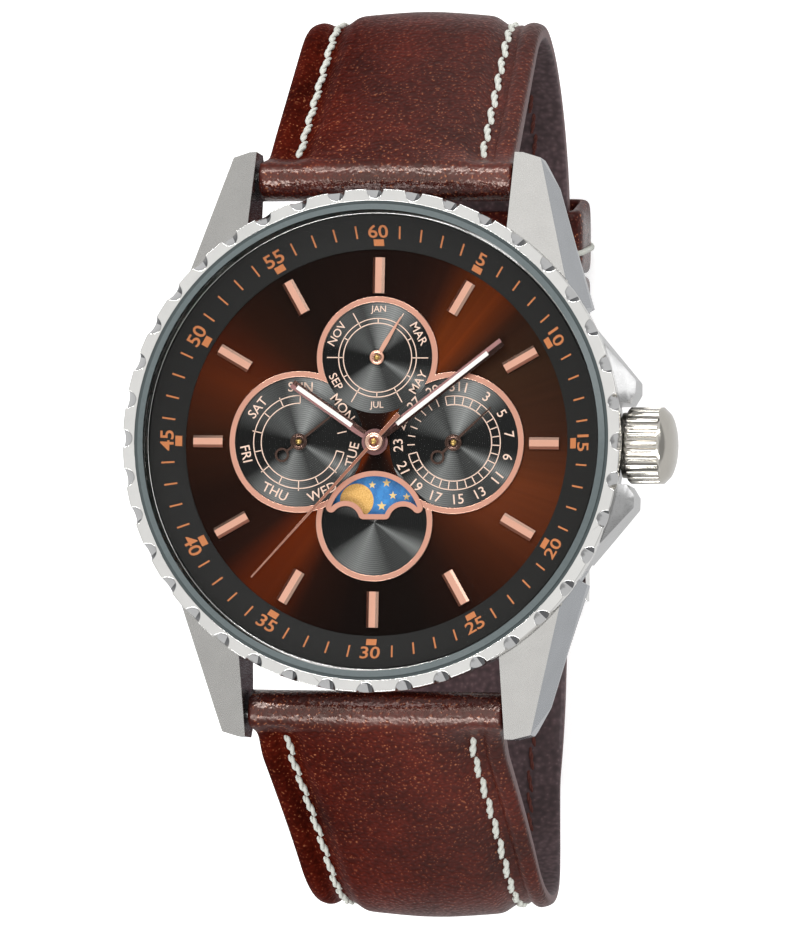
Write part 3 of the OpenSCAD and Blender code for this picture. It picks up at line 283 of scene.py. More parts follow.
class Bench(Nodes):
    """One material's node tree, with short calls for the textures that the finishes share."""

    def __init__(self, name: str) -> None:
        """Makes an empty material with a Principled shader.

        Args:
            name: The material's name.
        """
        self.material = bpy.data.materials.new(name)
        self.material.use_nodes = True
        super().__init__(self.material.node_tree)
        self.shader = self.tree.nodes["Principled BSDF"]

    def shade(self, **inputs: object) -> None:
        """Sets or links inputs of the Principled shader, spaces written as underscores."""
        for name, value in inputs.items():
            self.feed(self.shader.inputs[name.replace("_", " ")], value)

    def place(self, stretch: Point = (1, 1, 1), centre: Point = (0, 0, 0)) -> Socket:
        """The point on the piece in millimetres.

        Args:
            stretch: A factor for each axis.
            centre: The point that it is counted from.

        Returns:
            The point.
        """
        rest = self.node("TexCoord").outputs["Object"]
        scaled = self.vector("MULTIPLY", rest, (1 / MM, 1 / MM, 1 / MM)).outputs[0]
        moved = self.vector("SUBTRACT", scaled, centre).outputs[0]
        return self.vector("MULTIPLY", moved, stretch).outputs[0]

    def noise(self, at: Socket, size: float, detail: float = 2.0, rough: float = 0.5) -> Socket:
        """Cloudy noise, 0 to 1, with features about size millimetres wide."""
        return self.node("TexNoise", Vector=at, Scale=1 / size, Detail=detail,
                         Roughness=rough).outputs["Fac"]

    def cells(self, at: Socket, size: float) -> Socket:
        """The distance from the middle of round cells, like pebbles.

        Args:
            at: The point.
            size: The cells' width in millimetres.

        Returns:
            The distance.
        """
        made = self.node("TexVoronoi", Vector=at, Scale=1 / size)
        made.feature = "SMOOTH_F1"
        return made.outputs["Distance"]

    def bump(self, height: Socket, depth: float, under: Optional[Socket] = None) -> Socket:
        """A normal from a height.

        Args:
            height: The height, 0 to 1.
            depth: How many millimetres proud a height of 1 stands.
            under: The normal of a coarser texture, if any.

        Returns:
            The normal.
        """
        made = self.node("Bump", Height=height, Distance=depth * MM, Strength=1.0)
        if under is not None:
            self.feed(made.inputs["Normal"], under)
        return made.outputs["Normal"]

    def round_angle(self, centre: Point) -> tuple[Socket, Socket]:
        """A point's place round a centre.

        Args:
            centre: The centre in millimetres.

        Returns:
            Its angle, clockwise from 12 as 0 to 1, and its distance.
        """
        at = self.place(centre=centre)
        parts = self.node("SeparateXYZ", Vector=at).outputs
        turned = self.maths("ARCTAN2", parts["X"], parts["Y"])
        rounds = self.maths("ADD", self.maths("DIVIDE", turned, 2 * math.pi), 1.0)
        across = self.vector("MULTIPLY", at, (1, 1, 0)).outputs[0]
        return (self.maths("FRACT", rounds),
                self.vector("LENGTH", across).outputs["Value"])


@dataclass(frozen=True)
class Finish:
    """The surface of some pieces. Each kind paints its own node tree."""

    name: str

    def paint(self, bench: Bench) -> None:
        """Builds the shader's nodes."""
        raise NotImplementedError

    def material(self) -> bpy.types.Material:
        """The finish's material, made once.

        Returns:
            The material.
        """
        known = bpy.data.materials.get(self.name)
        if known is None:
            bench = Bench(self.name)
            self.paint(bench)
            known = bench.material
        return known


@dataclass(frozen=True)
class Metal(Finish):
    """Bare or plated metal.

    line and depth are its brushing lines' width and height in millimetres, cloud is the size
    of its tone changes, worn the tone of the darker ones, and drawn_out how much brushing
    stretches its lines.
    """

    colour: Colour = (0.6, 0.6, 0.6)
    roughness: float = 0.2
    grain: Grain = Grain.POLISHED
    line: float = 0.05
    depth: float = 0.0012
    cloud: float = 2.4
    worn: float = 0.93
    drawn_out: float = 0.04
    least_rough: float = 0.02

    def paint(self, bench: Bench) -> None:
        """Metal with its polishing or brushing lines and a little wear.

        Args:
            bench: The node tree that it is painted in.
        """
        clouds = bench.noise(bench.place(), self.cloud, 3.0)
        shade = bench.ramp(clouds, [(0.3, tuple(self.worn * c for c in self.colour)),
                                    (0.7, self.colour)])
        bench.shade(Base_Color=shade, Metallic=1.0)
        if self.grain is Grain.CIRCULAR:
            _, distance = bench.round_angle((0, 0, 0))
            at = bench.node("CombineXYZ", X=distance).outputs[0]
        else:
            at = bench.place(tuple(self.drawn_out if self.grain is way else 1.0
                                   for way in (Grain.ALONG_X, Grain.ALONG_Y, Grain.ALONG_Z)))
        lines = bench.noise(at, self.line, 2.0, 0.6)
        spread = 0.05 if self.grain is Grain.POLISHED else 0.12
        least = max(self.least_rough, self.roughness - spread)
        bench.shade(Roughness=bench.remap(lines, (0.0, 1.0), (least, self.roughness + spread)))
        if self.grain is not Grain.POLISHED:
            bench.shade(Normal=bench.bump(lines, self.depth))


@dataclass(frozen=True)
class Leather(Finish):
    """Waxed leather with a fine pebbled grain.

    Gloss, and the painted highlight glints on worn pebble crowns, change over the strap: waxed_x,
    bend_y and roll_y are stretches across the strap or away from the dial's middle, in
    millimetres, and the values after them hold at their two ends.
    """

    dark: Colour = (0.05, 0.01, 0.006)
    light: Colour = (0.12, 0.03, 0.02)
    grain_size: float = 0.3
    grain_depth: float = 0.05
    roughness: float = 0.36
    gloss: float = 0.1
    # colour of the lighter pebble crowns: partly worn wax, partly painted highlight glints
    rub_and_glint_colour: Colour = (0.54, 0.21, 0.09)
    polish: float = 0.9
    tint: Colour = (1.0, 0.8, 0.72)
    waxed_x: Pair = (-7.0, 9.0)
    waxed: Pair = (0.05, 3.2)
    bend_y: Pair = (24.0, 36.0)
    # strength of the worn crowns and painted glints at the two ends of bend_y
    bend_wear_and_glint: Pair = (1.0, 0.3)
    roll_y: Pair = (22.6, 24.2)
    roll_shine: Pair = (1.0, 0.0)
    roll_smoother: float = 0.2
    drift: float = 0.5
    tone_size: float = 7.0
    patch_size: float = 0.5
    fold_size: float = 1.6
    fold_depth: float = 0.05

    def paint(self, bench: Bench) -> None:
        """Pebbles with lighter worn crowns that are partly painted highlight glints, painted
        shade in the creases between them, and slow tone changes.

        Args:
            bench: The node tree that it is painted in.
        """
        at = bench.place()
        clouds = bench.node("TexNoise", Vector=at, Scale=0.9, Detail=2.0).outputs["Color"]
        drift = bench.vector("SCALE", clouds)
        bench.feed(drift.inputs["Scale"], self.drift)
        loose = bench.vector("ADD", at, drift.outputs[0]).outputs[0]
        pebbles = bench.cells(loose, self.grain_size)
        tone = bench.noise(at, self.tone_size, 3.0, 0.55)
        base = bench.ramp(tone, [(0.3, self.dark), (0.72, self.light)])
        # painted shade: darker in the creases between the pebbles
        crease_shade = bench.ramp(pebbles, [(0.1, 1.0), (0.62, 0.5)])
        spot = bench.node("SeparateXYZ", Vector=at).outputs
        reach = bench.maths("ABSOLUTE", spot["Y"])
        waxed = bench.remap(spot["X"], self.waxed_x, self.waxed)
        # fades the worn crowns and painted glints away from the roll
        wear = bench.remap(reach, self.bend_y, self.bend_wear_and_glint)
        shine = bench.remap(reach, self.roll_y, self.roll_shine)
        gloss = bench.maths("ADD", bench.maths("MULTIPLY", waxed, self.gloss),
                            bench.maths("MULTIPLY", shine, self.polish))
        # lighter pebble crowns, partly worn wax and partly painted highlight glints, strongest
        # near the roll
        crown_wear_glints = bench.ramp(pebbles, [(0.06, 1.0), (0.24, 0.0)])
        patchy = bench.ramp(bench.noise(at, self.patch_size, 2.0), [(0.3, 0.3), (0.6, 0.85)])
        worn_and_glint = bench.maths("MULTIPLY", bench.maths("MULTIPLY", crown_wear_glints, patchy), wear)
        # the crowns' colour mixed into the base: partly painted highlight
        worn = bench.blend(worn_and_glint, base, self.rub_and_glint_colour)
        bench.shade(Base_Color=bench.blend(1.0, worn, crease_shade, "MULTIPLY"))
        rough = bench.remap(pebbles, (0.0, 1.0), (self.roughness - 0.05, self.roughness + 0.2))
        sleek = bench.maths("SUBTRACT", rough,
                            bench.maths("MULTIPLY", shine, self.roll_smoother))
        folds = bench.bump(bench.noise(at, self.fold_size, 2.0), self.fold_depth)
        fine = bench.bump(bench.maths("SUBTRACT", 1.0, pebbles), self.grain_depth, folds)
        bench.shade(Roughness=sleek, Normal=fine, Specular_IOR_Level=gloss,
                    Specular_Tint=self.tint)


@dataclass(frozen=True)
class Matt(Finish):
    """Plastic, rubber, paint, thread and other plain materials with a fine texture.

    size and depth are the texture's, in millimetres, and vary is how much its tone changes.
    """

    colour: Colour = (0.5, 0.5, 0.5)
    roughness: float = 0.5
    size: float = 0.15
    depth: float = 0.004
    vary: float = 0.12
    gloss: float = 0.5

    def paint(self, bench: Bench) -> None:
        """A colour that varies a little, over a fine uneven surface.

        Args:
            bench: The node tree that it is painted in.
        """
        fine = bench.noise(bench.place(), self.size, 2.0)
        lower = tuple((1 - self.vary) * c for c in self.colour)
        bench.shade(Base_Color=bench.ramp(fine, [(0.3, lower), (0.7, self.colour)]),
                    Roughness=self.roughness, Specular_IOR_Level=self.gloss,
                    Normal=bench.bump(fine, self.depth))


@dataclass(frozen=True)
class Sunburst(Finish):
    """A lacquered dial, ground from its centre outwards.

    stops are its colours by angle, clockwise from 12 as 0 to 1: painted reflection, warm and
    bright where the ground lines would catch the light, dark between.
    """

    stops: tuple[tuple[float, Colour], ...] = ()
    radius: float = 17.5
    line: float = 0.016
    streaks: Pair = (0.64, 0.92)
    rim_tone: float = 0.72
    deepen: float = 1.18

    def paint(self, bench: Bench) -> None:
        """Painted reflection as warm and dark sectors by angle, with fine lines that run from the
        centre.

        Args:
            bench: The node tree that it is painted in.
        """
        share, distance = bench.round_angle((0, 0, 0))
        # painted reflection: the dial's warm and dark sectors by angle
        painted_sheen = bench.ramp(share, self.stops)
        flat = bench.vector("MULTIPLY", bench.place(), (1, 1, 0)).outputs[0]
        way = bench.vector("NORMALIZE", flat).outputs[0]
        lines = bench.noise(way, self.line, 3.0, 0.7)
        streaks = bench.ramp(lines, [(0.25, self.streaks[0]), (0.75, self.streaks[1])])
        warm = bench.blend(1.0, painted_sheen, streaks, "MULTIPLY")
        rim = bench.ramp(bench.maths("DIVIDE", distance, self.radius),
                         [(0.55, 1.0), (0.95, self.rim_tone)])
        deep = bench.node("Gamma", Color=bench.blend(1.0, warm, rim, "MULTIPLY"),
                          Gamma=self.deepen)
        bench.shade(Base_Color=deep.outputs[0], Metallic=0.35, Roughness=0.42,
                    Normal=bench.bump(lines, 0.004), Coat_Weight=0.03, Coat_Roughness=0.12,
                    Specular_IOR_Level=0.04)


@dataclass(frozen=True)
class Azure(Finish):
    """A small dial cut with fine rings, which catch the light as bright cones.

    highlight_cones are its painted highlights, greys by angle, clockwise from 12 as 0 to 1, and
    rings the darkest and the lightest share of them across one ring.
    """

    centre: Pair = (0, 0)
    pitch: float = 0.17
    # painted highlights: the rings' greys by angle
    highlight_cones: tuple[Pair, ...] = (
        (0.0, 0.20), (0.055, 0.30), (0.11, 0.14), (0.16, 0.016), (0.27, 0.014), (0.3, 0.05),
        (0.335, 0.24), (0.37, 0.06), (0.44, 0.045), (0.5, 0.13), (0.56, 0.22), (0.62, 0.13),
        (0.66, 0.012), (0.78, 0.010), (0.83, 0.07), (0.89, 0.09), (0.95, 0.05), (1.0, 0.20))
    rings: Pair = (0.72, 1.2)
    tone: Colour = (0.76, 0.79, 0.77)

    def paint(self, bench: Bench) -> None:
        """Rings about the small dial's own centre, with painted highlight sectors where they
        would face the light.

        Args:
            bench: The node tree that it is painted in.
        """
        share, distance = bench.round_angle((*self.centre, 0))
        highlight_cones = bench.ramp(share, self.highlight_cones)
        wave = bench.maths("SINE", bench.maths("MULTIPLY", distance, 2 * math.pi / self.pitch))
        lit = bench.blend(1.0, highlight_cones, bench.remap(wave, (-1.0, 1.0), self.rings), "MULTIPLY")
        bench.shade(Base_Color=bench.blend(1.0, lit, self.tone, "MULTIPLY"),
                    Metallic=0.2, Roughness=0.38, Specular_IOR_Level=0.1,
                    Normal=bench.bump(wave, 0.006))


@dataclass(frozen=True)
class Clear(Finish):
    """Coated watch glass, which hardly mirrors."""

    opacity: float = 0.03
    tones: Pair = (0.004, 0.008)

    def paint(self, bench: Bench) -> None:
        """A thin tint with a sharp gloss.

        Args:
            bench: The node tree that it is painted in.
        """
        clouds = bench.noise(bench.place(), 9.0)
        tint = bench.ramp(clouds, [(0.0, self.tones[0]), (1.0, self.tones[1])])
        bench.shade(Base_Color=tint, Alpha=self.opacity, Roughness=0.03,
                    Specular_IOR_Level=0.2)


@dataclass(frozen=True)
class Sky(Finish):
    """The moon disc's enamel: deep blue, a little mottled."""

    deep: Colour = rgb(30, 96, 160)
    pale: Colour = rgb(58, 146, 214)

    def paint(self, bench: Bench) -> None:
        """Blue enamel under a clear coat.

        Args:
            bench: The node tree that it is painted in.
        """
        clouds = bench.noise(bench.place(), 0.8, 4.0, 0.6)
        bench.shade(Base_Color=bench.ramp(clouds, [(0.3, self.deep), (0.7, self.pale)]),
                    Roughness=0.4, Coat_Weight=0.2, Normal=bench.bump(clouds, 0.01))


@dataclass(frozen=True)
class Moonface(Finish):
    """Printed gold, flecked like coarse gold paint."""

    tones: tuple[tuple[float, Colour], ...] = (
        (0.3, rgb(196, 140, 66)), (0.52, rgb(226, 178, 98)), (0.75, rgb(244, 206, 132)))

    def paint(self, bench: Bench) -> None:
        """Flecks of pale and deep gold.

        Args:
            bench: The node tree that it is painted in.
        """
        flecks = bench.noise(bench.place(), 0.12, 3.0, 0.7)
        bench.shade(Base_Color=bench.ramp(flecks, self.tones), Roughness=0.5, Metallic=0.1,
                    Normal=bench.bump(flecks, 0.01))


STEEL = Metal("steel_brushed", rgb(205, 204, 200), 0.3, Grain.ALONG_Y, 0.06)
# lit and shaded copies of the steel: painted highlight on the lug tops, painted shade on the
# flanks
STEEL_TOP_LIT = Metal("steel_lug_top_lit", rgb(238, 236, 232), 0.27, Grain.SATIN, 0.05)
STEEL_SIDE_SHADED = Metal("steel_flank_shaded", rgb(168, 171, 175), 0.24, Grain.ALONG_Z, 0.06)
STEEL_BACK = Metal("steel_back", rgb(208, 207, 204), 0.28, Grain.CIRCULAR, 0.08)
POLISHED = Metal("steel_polished_bright", rgb(232, 231, 228), 0.1)
BITE = Metal("steel_bite", rgb(206, 206, 206), 0.16)
# painted shade copy for the bites' faces that turn left
BITE_SHADE = Metal("steel_bite_shade", rgb(104, 105, 107), 0.16)
CROWN = Metal("steel_crown", rgb(200, 196, 188), 0.14)
GUARD = Metal("steel_guard", rgb(200, 200, 200), 0.3, Grain.ALONG_X, 0.05)
ROSE = Metal("rose_gold_satin", rgb(236, 180, 156), 0.34, Grain.SATIN, 0.06, 0.003)
# lit and shaded copies of the rose gold: painted highlight and painted shade
ROSE_HIGHLIGHT = Metal("rose_gold_highlight", rgb(250, 205, 182), 0.2)
ROSE_SHADE = Metal("rose_gold_shade", rgb(176, 118, 98), 0.3)
ROSE_FRAME = Metal("rose_gold_frame", rgb(226, 166, 144), 0.34, Grain.SATIN, 0.08, 0.003)
# painted shade and lit copies of the hands' metal, one for each bevel
HAND_SHADE = Metal("hand_side_shaded", rgb(58, 42, 38), 0.25)
HAND_LIT = Metal("hand_side_lit", rgb(140, 104, 102), 0.5, Grain.SATIN, 0.06, 0.002)
HUB_DARK = Metal("hub_dark", rgb(58, 40, 34), 0.22)
NEEDLE = Metal("needle_dark", rgb(92, 72, 64), 0.25)
BRASS = Metal("movement_brass_satin", rgb(206, 172, 104), 0.3, Grain.CIRCULAR, 0.1)
TOOL_STEEL = Metal("movement_steel_ground", rgb(168, 170, 174), 0.26, Grain.ALONG_X, 0.06)
SCREW = Metal("screw_blued", rgb(116, 122, 140), 0.2)
MAGNET = Metal("rotor_sintered", rgb(84, 84, 88), 0.5, Grain.SATIN, 0.04)
NICKEL = Metal("nickel_bright", rgb(206, 205, 200), 0.16)
COPPER = Metal("copper_enamelled", rgb(190, 110, 70), 0.3, Grain.ALONG_Y, 0.05, 0.01)
LEATHER = Leather("leather_red_brown", rgb(62, 14, 7), rgb(102, 30, 17))
LEATHER_BAND = Leather("leather_keeper", rgb(68, 22, 18), rgb(100, 40, 34), gloss=0.06,
                       polish=0.06)
LINING = Leather("leather_lining", rgb(84, 62, 65), rgb(112, 88, 92), grain_size=0.45,
                 grain_depth=0.02, roughness=0.62, gloss=0.2, rub_and_glint_colour=rgb(124, 98, 98),
                 polish=0.0, tint=(1, 1, 1))
EDGE = Matt("leather_cut_edge", rgb(112, 82, 82), 0.55, 0.25, 0.03, 0.3)
THREAD = Matt("thread_off_white", rgb(226, 228, 219), 0.7, 0.06, 0.02, 0.25)
THREAD_BROWN = Matt("thread_brown", rgb(104, 46, 34), 0.7, 0.06, 0.02, 0.25)
CHAPTER = Matt("chapter_charcoal", rgb(40, 40, 39), 0.46, 0.05, 0.002, 0.15, 0.12)
COPPER_INK = Matt("ink_copper", rgb(206, 130, 82), 0.5, 0.1, 0.002, 0.1, 0.2)
ROSE_INK = Matt("ink_rose", rgb(240, 208, 188), 0.5, 0.1, 0.002, 0.1)
LUME = Matt("lume_white", rgb(240, 238, 232), 0.6, 0.08, 0.004, 0.06)
GASKET = Matt("gasket_grey", rgb(58, 68, 69), 0.4, 0.2, 0.002, 0.08)
RIM = Matt("crystal_rim", rgb(97, 106, 107), 0.2, 0.3, 0.002, 0.1)
SEAL = Matt("seal_black", rgb(24, 24, 24), 0.7)
IVORY = Matt("holder_ivory", rgb(222, 216, 198), 0.5)
BOARD = Matt("board_solder_mask", rgb(26, 88, 52), 0.35)
EPOXY = Matt("chip_epoxy", rgb(28, 28, 28), 0.6)
GLASS = Clear("crystal_coated")
SKY = Sky("moon_sky")
MOONFACE = Moonface("moon_gold")
STAR = Matt("star_gold", rgb(240, 206, 136), 0.45, 0.1, 0.004)
# The dial's colours by angle are painted reflection of its sunburst grinding, warm where the
# lines would catch the light.
DIAL = Sunburst("dial_sunburst", (
    (0.0, rgb(46, 27, 20)), (0.035, rgb(50, 29, 21)), (0.06, rgb(66, 36, 24)),
    (0.085, rgb(126, 64, 26)), (0.11, rgb(132, 66, 28)), (0.135, rgb(74, 46, 32)),
    (0.17, rgb(80, 56, 40)), (0.24, rgb(90, 58, 42)), (0.29, rgb(132, 74, 44)),
    (0.33, rgb(128, 70, 42)), (0.37, rgb(94, 50, 28)), (0.42, rgb(52, 29, 20)),
    (0.46, rgb(34, 22, 16)), (0.52, rgb(34, 20, 14)), (0.565, rgb(54, 29, 18)),
    (0.595, rgb(122, 56, 22)), (0.615, rgb(122, 54, 20)), (0.645, rgb(58, 32, 22)),
    (0.7, rgb(50, 28, 18)), (0.76, rgb(78, 45, 28)), (0.81, rgb(116, 58, 30)),
    (0.84, rgb(96, 46, 24)), (0.87, rgb(64, 36, 22)), (0.92, rgb(42, 27, 20)),
    (1.0, rgb(46, 27, 20))))

PLAIN_FINISHES: dict[str, Finish] = {
    "crystal_gasket": GASKET, "case_back": STEEL_BACK, "case_back_gasket": SEAL,
    "crown_gasket": SEAL, "case_back_screws": NICKEL, "crown_tube": NICKEL, "crown": CROWN,
    "winding_stem": TOOL_STEEL, "clutch_wheel": BRASS, "setting_lever": TOOL_STEEL,
    "chapter_ring": CHAPTER, "dial_plate": DIAL, "moon_wheel": BRASS,
    "hour_hand_lume": LUME, "minute_hand_lume": LUME, "month_hand": ROSE,
    "day_hand": NEEDLE, "date_hand": NEEDLE, "month_wheel": BRASS, "day_wheel": BRASS,
    "date_wheel": BRASS, "movement_holder": IVORY, "main_plate": BRASS,
    "train_bridge": TOOL_STEEL, "bridge_screws": SCREW, "battery": NICKEL,
    "battery_clip": BRASS, "circuit_board": BOARD, "quartz_can": NICKEL,
    "control_chip": EPOXY, "coil_core": TOOL_STEEL, "coil_winding": COPPER,
    "stator": TOOL_STEEL, "rotor": MAGNET, "intermediate_wheel": BRASS,
    "third_wheel": BRASS, "seconds_wheel": BRASS, "cannon_pinion": BRASS,
    "minute_wheel": BRASS, "hour_wheel": BRASS, "spring_bar_upper": NICKEL,
    "spring_bar_lower": NICKEL, "buckle_frame": POLISHED, "buckle_tang": POLISHED,
    "buckle_bar": NICKEL,
}


def dress(node: str, finishes: Sequence[Finish],
          choose: Callable[[Vector, Vector], int] = lambda middle, normal: 0) -> None:
    """Gives a CAD node its finishes, chosen face by face.

    Args:
        node: The node's name.
        finishes: The finishes, in the order of their numbers.
        choose: Picks a finish's number from a face's middle in millimetres and its normal.
    """
    mesh = NODES[node].data
    mesh.materials.clear()
    for finish in finishes:
        mesh.materials.append(finish.material())
    for face in mesh.polygons:
        face.material_index = choose(face.center / MM, face.normal)


def soften(node: str, width: float, angle: float = 32.0, slot: int = -1) -> None:
    """Rounds a CAD node's sharp edges with modifiers, which leave its own mesh as it is.

    Args:
        node: The node's name.
        width: Width of the rounding in millimetres.
        angle: Edges sharper than this, in degrees, are rounded.
        slot: Number of the finish on the rounding, or -1 for that of its neighbours.
    """
    piece = NODES[node]
    weld = piece.modifiers.new("join_seams", "WELD")
    weld.merge_threshold = SEAM * MM
    edge = piece.modifiers.new("ease_edges", "BEVEL")
    edge.width = width * MM
    edge.segments = 2
    edge.material = slot
    edge.limit_method = "ANGLE"
    edge.angle_limit = math.radians(angle)
    edge.use_clamp_overlap = True
    edge.harden_normals = True


class Draft:
    """A mesh being drawn, in millimetres."""

    def __init__(self) -> None:
        """Starts with nothing."""
        self.points: list[Point] = []
        self.faces: list[tuple[int, ...]] = []
        self.kinds: list[int] = []

    def add(self, points: Iterable[Point], faces: Iterable[Sequence[int]], kind: int = 0) -> None:
        """Adds points and the faces among them.

        Args:
            points: The new points.
            faces: Faces as numbers into the new points.
            kind: The number of the finish that the faces take.
        """
        start = len(self.points)
        self.points.extend(tuple(float(c) for c in p) for p in points)
        for face in faces:
            self.faces.append(tuple(start + i for i in face))
            self.kinds.append(kind)

    def weld(self, closeness: float = 1e-5) -> None:
        """Joins points that lie at the same place, and drops faces that this closes up.

        Args:
            closeness: Points nearer than this, in millimetres, become one.
        """
        places: dict[tuple[int, ...], int] = {}
        index, kept = [], []
        for point in self.points:
            key = tuple(round(c / closeness) for c in point)
            if key not in places:
                places[key] = len(kept)
                kept.append(point)
            index.append(places[key])
        faces, kinds = [], []
        for face, kind in zip(self.faces, self.kinds):
            corners = tuple(dict.fromkeys(index[i] for i in face))
            if len(corners) > 2:
                faces.append(corners)
                kinds.append(kind)
        self.points, self.faces, self.kinds = kept, faces, kinds

    def rings(self, rings: Sequence[Sequence[Point]], close: bool = False) -> None:
        """Skins a row of equal rings of points, and fills its two ends if it has any.

        Args:
            rings: The rings, each going round once.
            close: Whether the last ring joins the first.
        """
        size, count = len(rings[0]), len(rings)
        faces = [(i * size + j, i * size + (j + 1) % size,
                  (i + 1) % count * size + (j + 1) % size, (i + 1) % count * size + j)
                 for i in range(count if close else count - 1) for j in range(size)]
        if not close:
            faces.append(tuple(reversed(range(size))))
            faces.append(tuple(range((count - 1) * size, count * size)))
        self.add([p for ring in rings for p in ring], faces)

    def tube(self, path: np.ndarray, radius: Sequence[float], sides: int = 8) -> None:
        """Adds a round tube along points.

        Args:
            path: The points, one a row.
            radius: The tube's radius at each point.
            sides: How many faces it has round.
        """
        slanted = (0.3, 0.2, 1.0)
        ahead = np.gradient(path, axis=0)
        ahead /= np.linalg.norm(ahead, axis=1)[:, None]
        side = np.cross(ahead, slanted)
        side /= np.linalg.norm(side, axis=1)[:, None]
        up = np.cross(side, ahead)
        turn = [2 * math.pi * k / sides for k in range(sides)]
        self.rings([[p + r * (math.cos(a) * s + math.sin(a) * u) for a in turn]
                    for p, r, s, u in zip(path, radius, side, up)])

    def slab(self, outline: Sequence[Pair], place: Place, top: float = PRINT_TOP) -> None:
        """Adds a flat printed shape, set on a surface.

        Args:
            outline: The shape's corners, in its own plane.
            place: Turns a corner and a height into a point.
            top: How far it stands above its ground.
        """
        self.rings([[place(x, y, height) for x, y in outline] for height in (PRINT_FOOT, top)])

    def bar(self, place: Place, wide: float, long: float, top: float = PRINT_TOP) -> None:
        """Adds a printed bar.

        Args:
            place: Turns a corner and a height into a point.
            wide: Its width in millimetres.
            long: Its length in millimetres.
            top: How far it stands above its ground.
        """
        x, y = wide / 2, long / 2
        self.slab([(-x, -y), (x, -y), (x, y), (-x, y)], place, top)

    def build(self, name: str, body: Body, finishes: Sequence[Finish],
              slot: Optional[Slot] = None, is_smooth: bool = True) -> bpy.types.Object:
        """Makes the piece and sets it on its body.

        Args:
            name: The piece's name.
            body: The body that it rides on.
            finishes: Its finishes, by number.
            slot: The record's slot meant for it, if any; not used.
            is_smooth: Whether its faces are shaded smooth.

        Returns:
            The piece.
        """
        mesh = bpy.data.meshes.new(name)
        mesh.from_pydata([tuple(c * MM for c in p) for p in self.points], [], self.faces)
        mesh.validate()
        for finish in finishes:
            mesh.materials.append(finish.material())
        if len(mesh.polygons) == len(self.kinds):
            mesh.polygons.foreach_set("material_index", self.kinds)
        mesh.polygons.foreach_set("use_smooth", [is_smooth] * len(mesh.polygons))
        piece = bpy.data.objects.new(name, mesh)
        bpy.context.scene.collection.objects.link(piece)
        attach(piece, body.value)
        LOG.info("%s: %d faces", name, len(mesh.polygons))
        return piece


def evaluated_mesh(piece: bpy.types.Object) -> bpy.types.Mesh:
    """A new mesh of a piece as its modifiers leave it.

    Args:
        piece: The piece.

    Returns:
        The mesh.
    """
    bpy.context.view_layer.update()
    graph = bpy.context.evaluated_depsgraph_get()
    return bpy.data.meshes.new_from_object(piece.evaluated_get(graph), depsgraph=graph)


def bake_modifiers(piece: bpy.types.Object) -> None:
    """Turns a piece's modifiers into its mesh.

    Args:
        piece: The piece.
    """
    final = evaluated_mesh(piece)
    piece.modifiers.clear()
    piece.data = final


def refine(piece: bpy.types.Object) -> None:
    """Rounds a piece by one level of subdivision.

    Args:
        piece: The piece.
    """
    finer = piece.modifiers.new("refine", "SUBSURF")
    finer.levels = finer.render_levels = 1
    bake_modifiers(piece)


class Lettering:
    """Turns a word into flat outlines that can be set on any surface."""

    def __init__(self, weight: float = 0.0) -> None:
        """Keeps how much bolder than plain the letters are.

        Args:
            weight: Share of the letters' height added round each stroke.
        """
        self.weight = weight

    def set_word(self, draft: Draft, word: str, height: float, place: Place,
                 thick: float = PRINT_TOP, widen: float = 1.0) -> None:
        """Adds a word to a draft.

        Args:
            draft: The mesh that the word joins.
            word: What it says.
            height: Height of its capitals in millimetres.
            place: Turns a point across and up the word, and a height above it, into a point.
            thick: How far the print stands above its ground.
            widen: How much wider than plain the letters are.
        """
        curve = bpy.data.curves.new("word", "FONT")
        curve.body = word
        curve.align_x = "CENTER"
        curve.resolution_u = 3
        curve.offset = self.weight
        curve.extrude = 0.5
        maker = bpy.data.objects.new("word", curve)
        bpy.context.scene.collection.objects.link(maker)
        mesh = evaluated_mesh(maker)
        flat = np.array([v.co for v in mesh.vertices])
        low, high = flat.min(0), flat.max(0)
        scale = height / (high[1] - low[1])
        middle = (low + high) / 2
        points = [place((p[0] - middle[0]) * scale * widen, (p[1] - middle[1]) * scale,
                        thick if p[2] > 0 else PRINT_FOOT) for p in flat]
        draft.add(points, [tuple(face.vertices) for face in mesh.polygons])
        bpy.data.objects.remove(maker)
        bpy.data.curves.remove(curve)
        bpy.data.meshes.remove(mesh)


def around(centre: Pair, level: Callable[[float], float]) -> Callable[..., Place]:
    """A way to set print at an angle round a centre.

    Args:
        centre: The centre, in millimetres.
        level: The ground's height at a distance from the centre.

    Returns:
        A function of an angle, a distance and whether the top faces in, which gives a place
        function for points across the radius and along it.
    """
    def at_angle(degrees: float, radius: float, is_inward: bool = False) -> Place:
        """A place function at one angle.

        Args:
            degrees: The angle, clockwise from 12.
            radius: The distance of the print's middle.
            is_inward: Whether the print's top faces the centre.

        Returns:
            The place function.
        """
        turn = math.radians(degrees)
        flip = -1 if is_inward else 1

        def place(x: float, y: float, height: float) -> Point:
            """The point for a place in the print.

            Args:
                x: Its place across.
                y: Its place up.
                height: Its height over the ground.

            Returns:
                The point.
            """
            across, out = flip * x, radius + flip * y
            px = across * math.cos(turn) + out * math.sin(turn)
            py = -across * math.sin(turn) + out * math.cos(turn)
            return (centre[0] + px, centre[1] + py, level(math.hypot(px, py)) + height)
        return place
    return at_angle


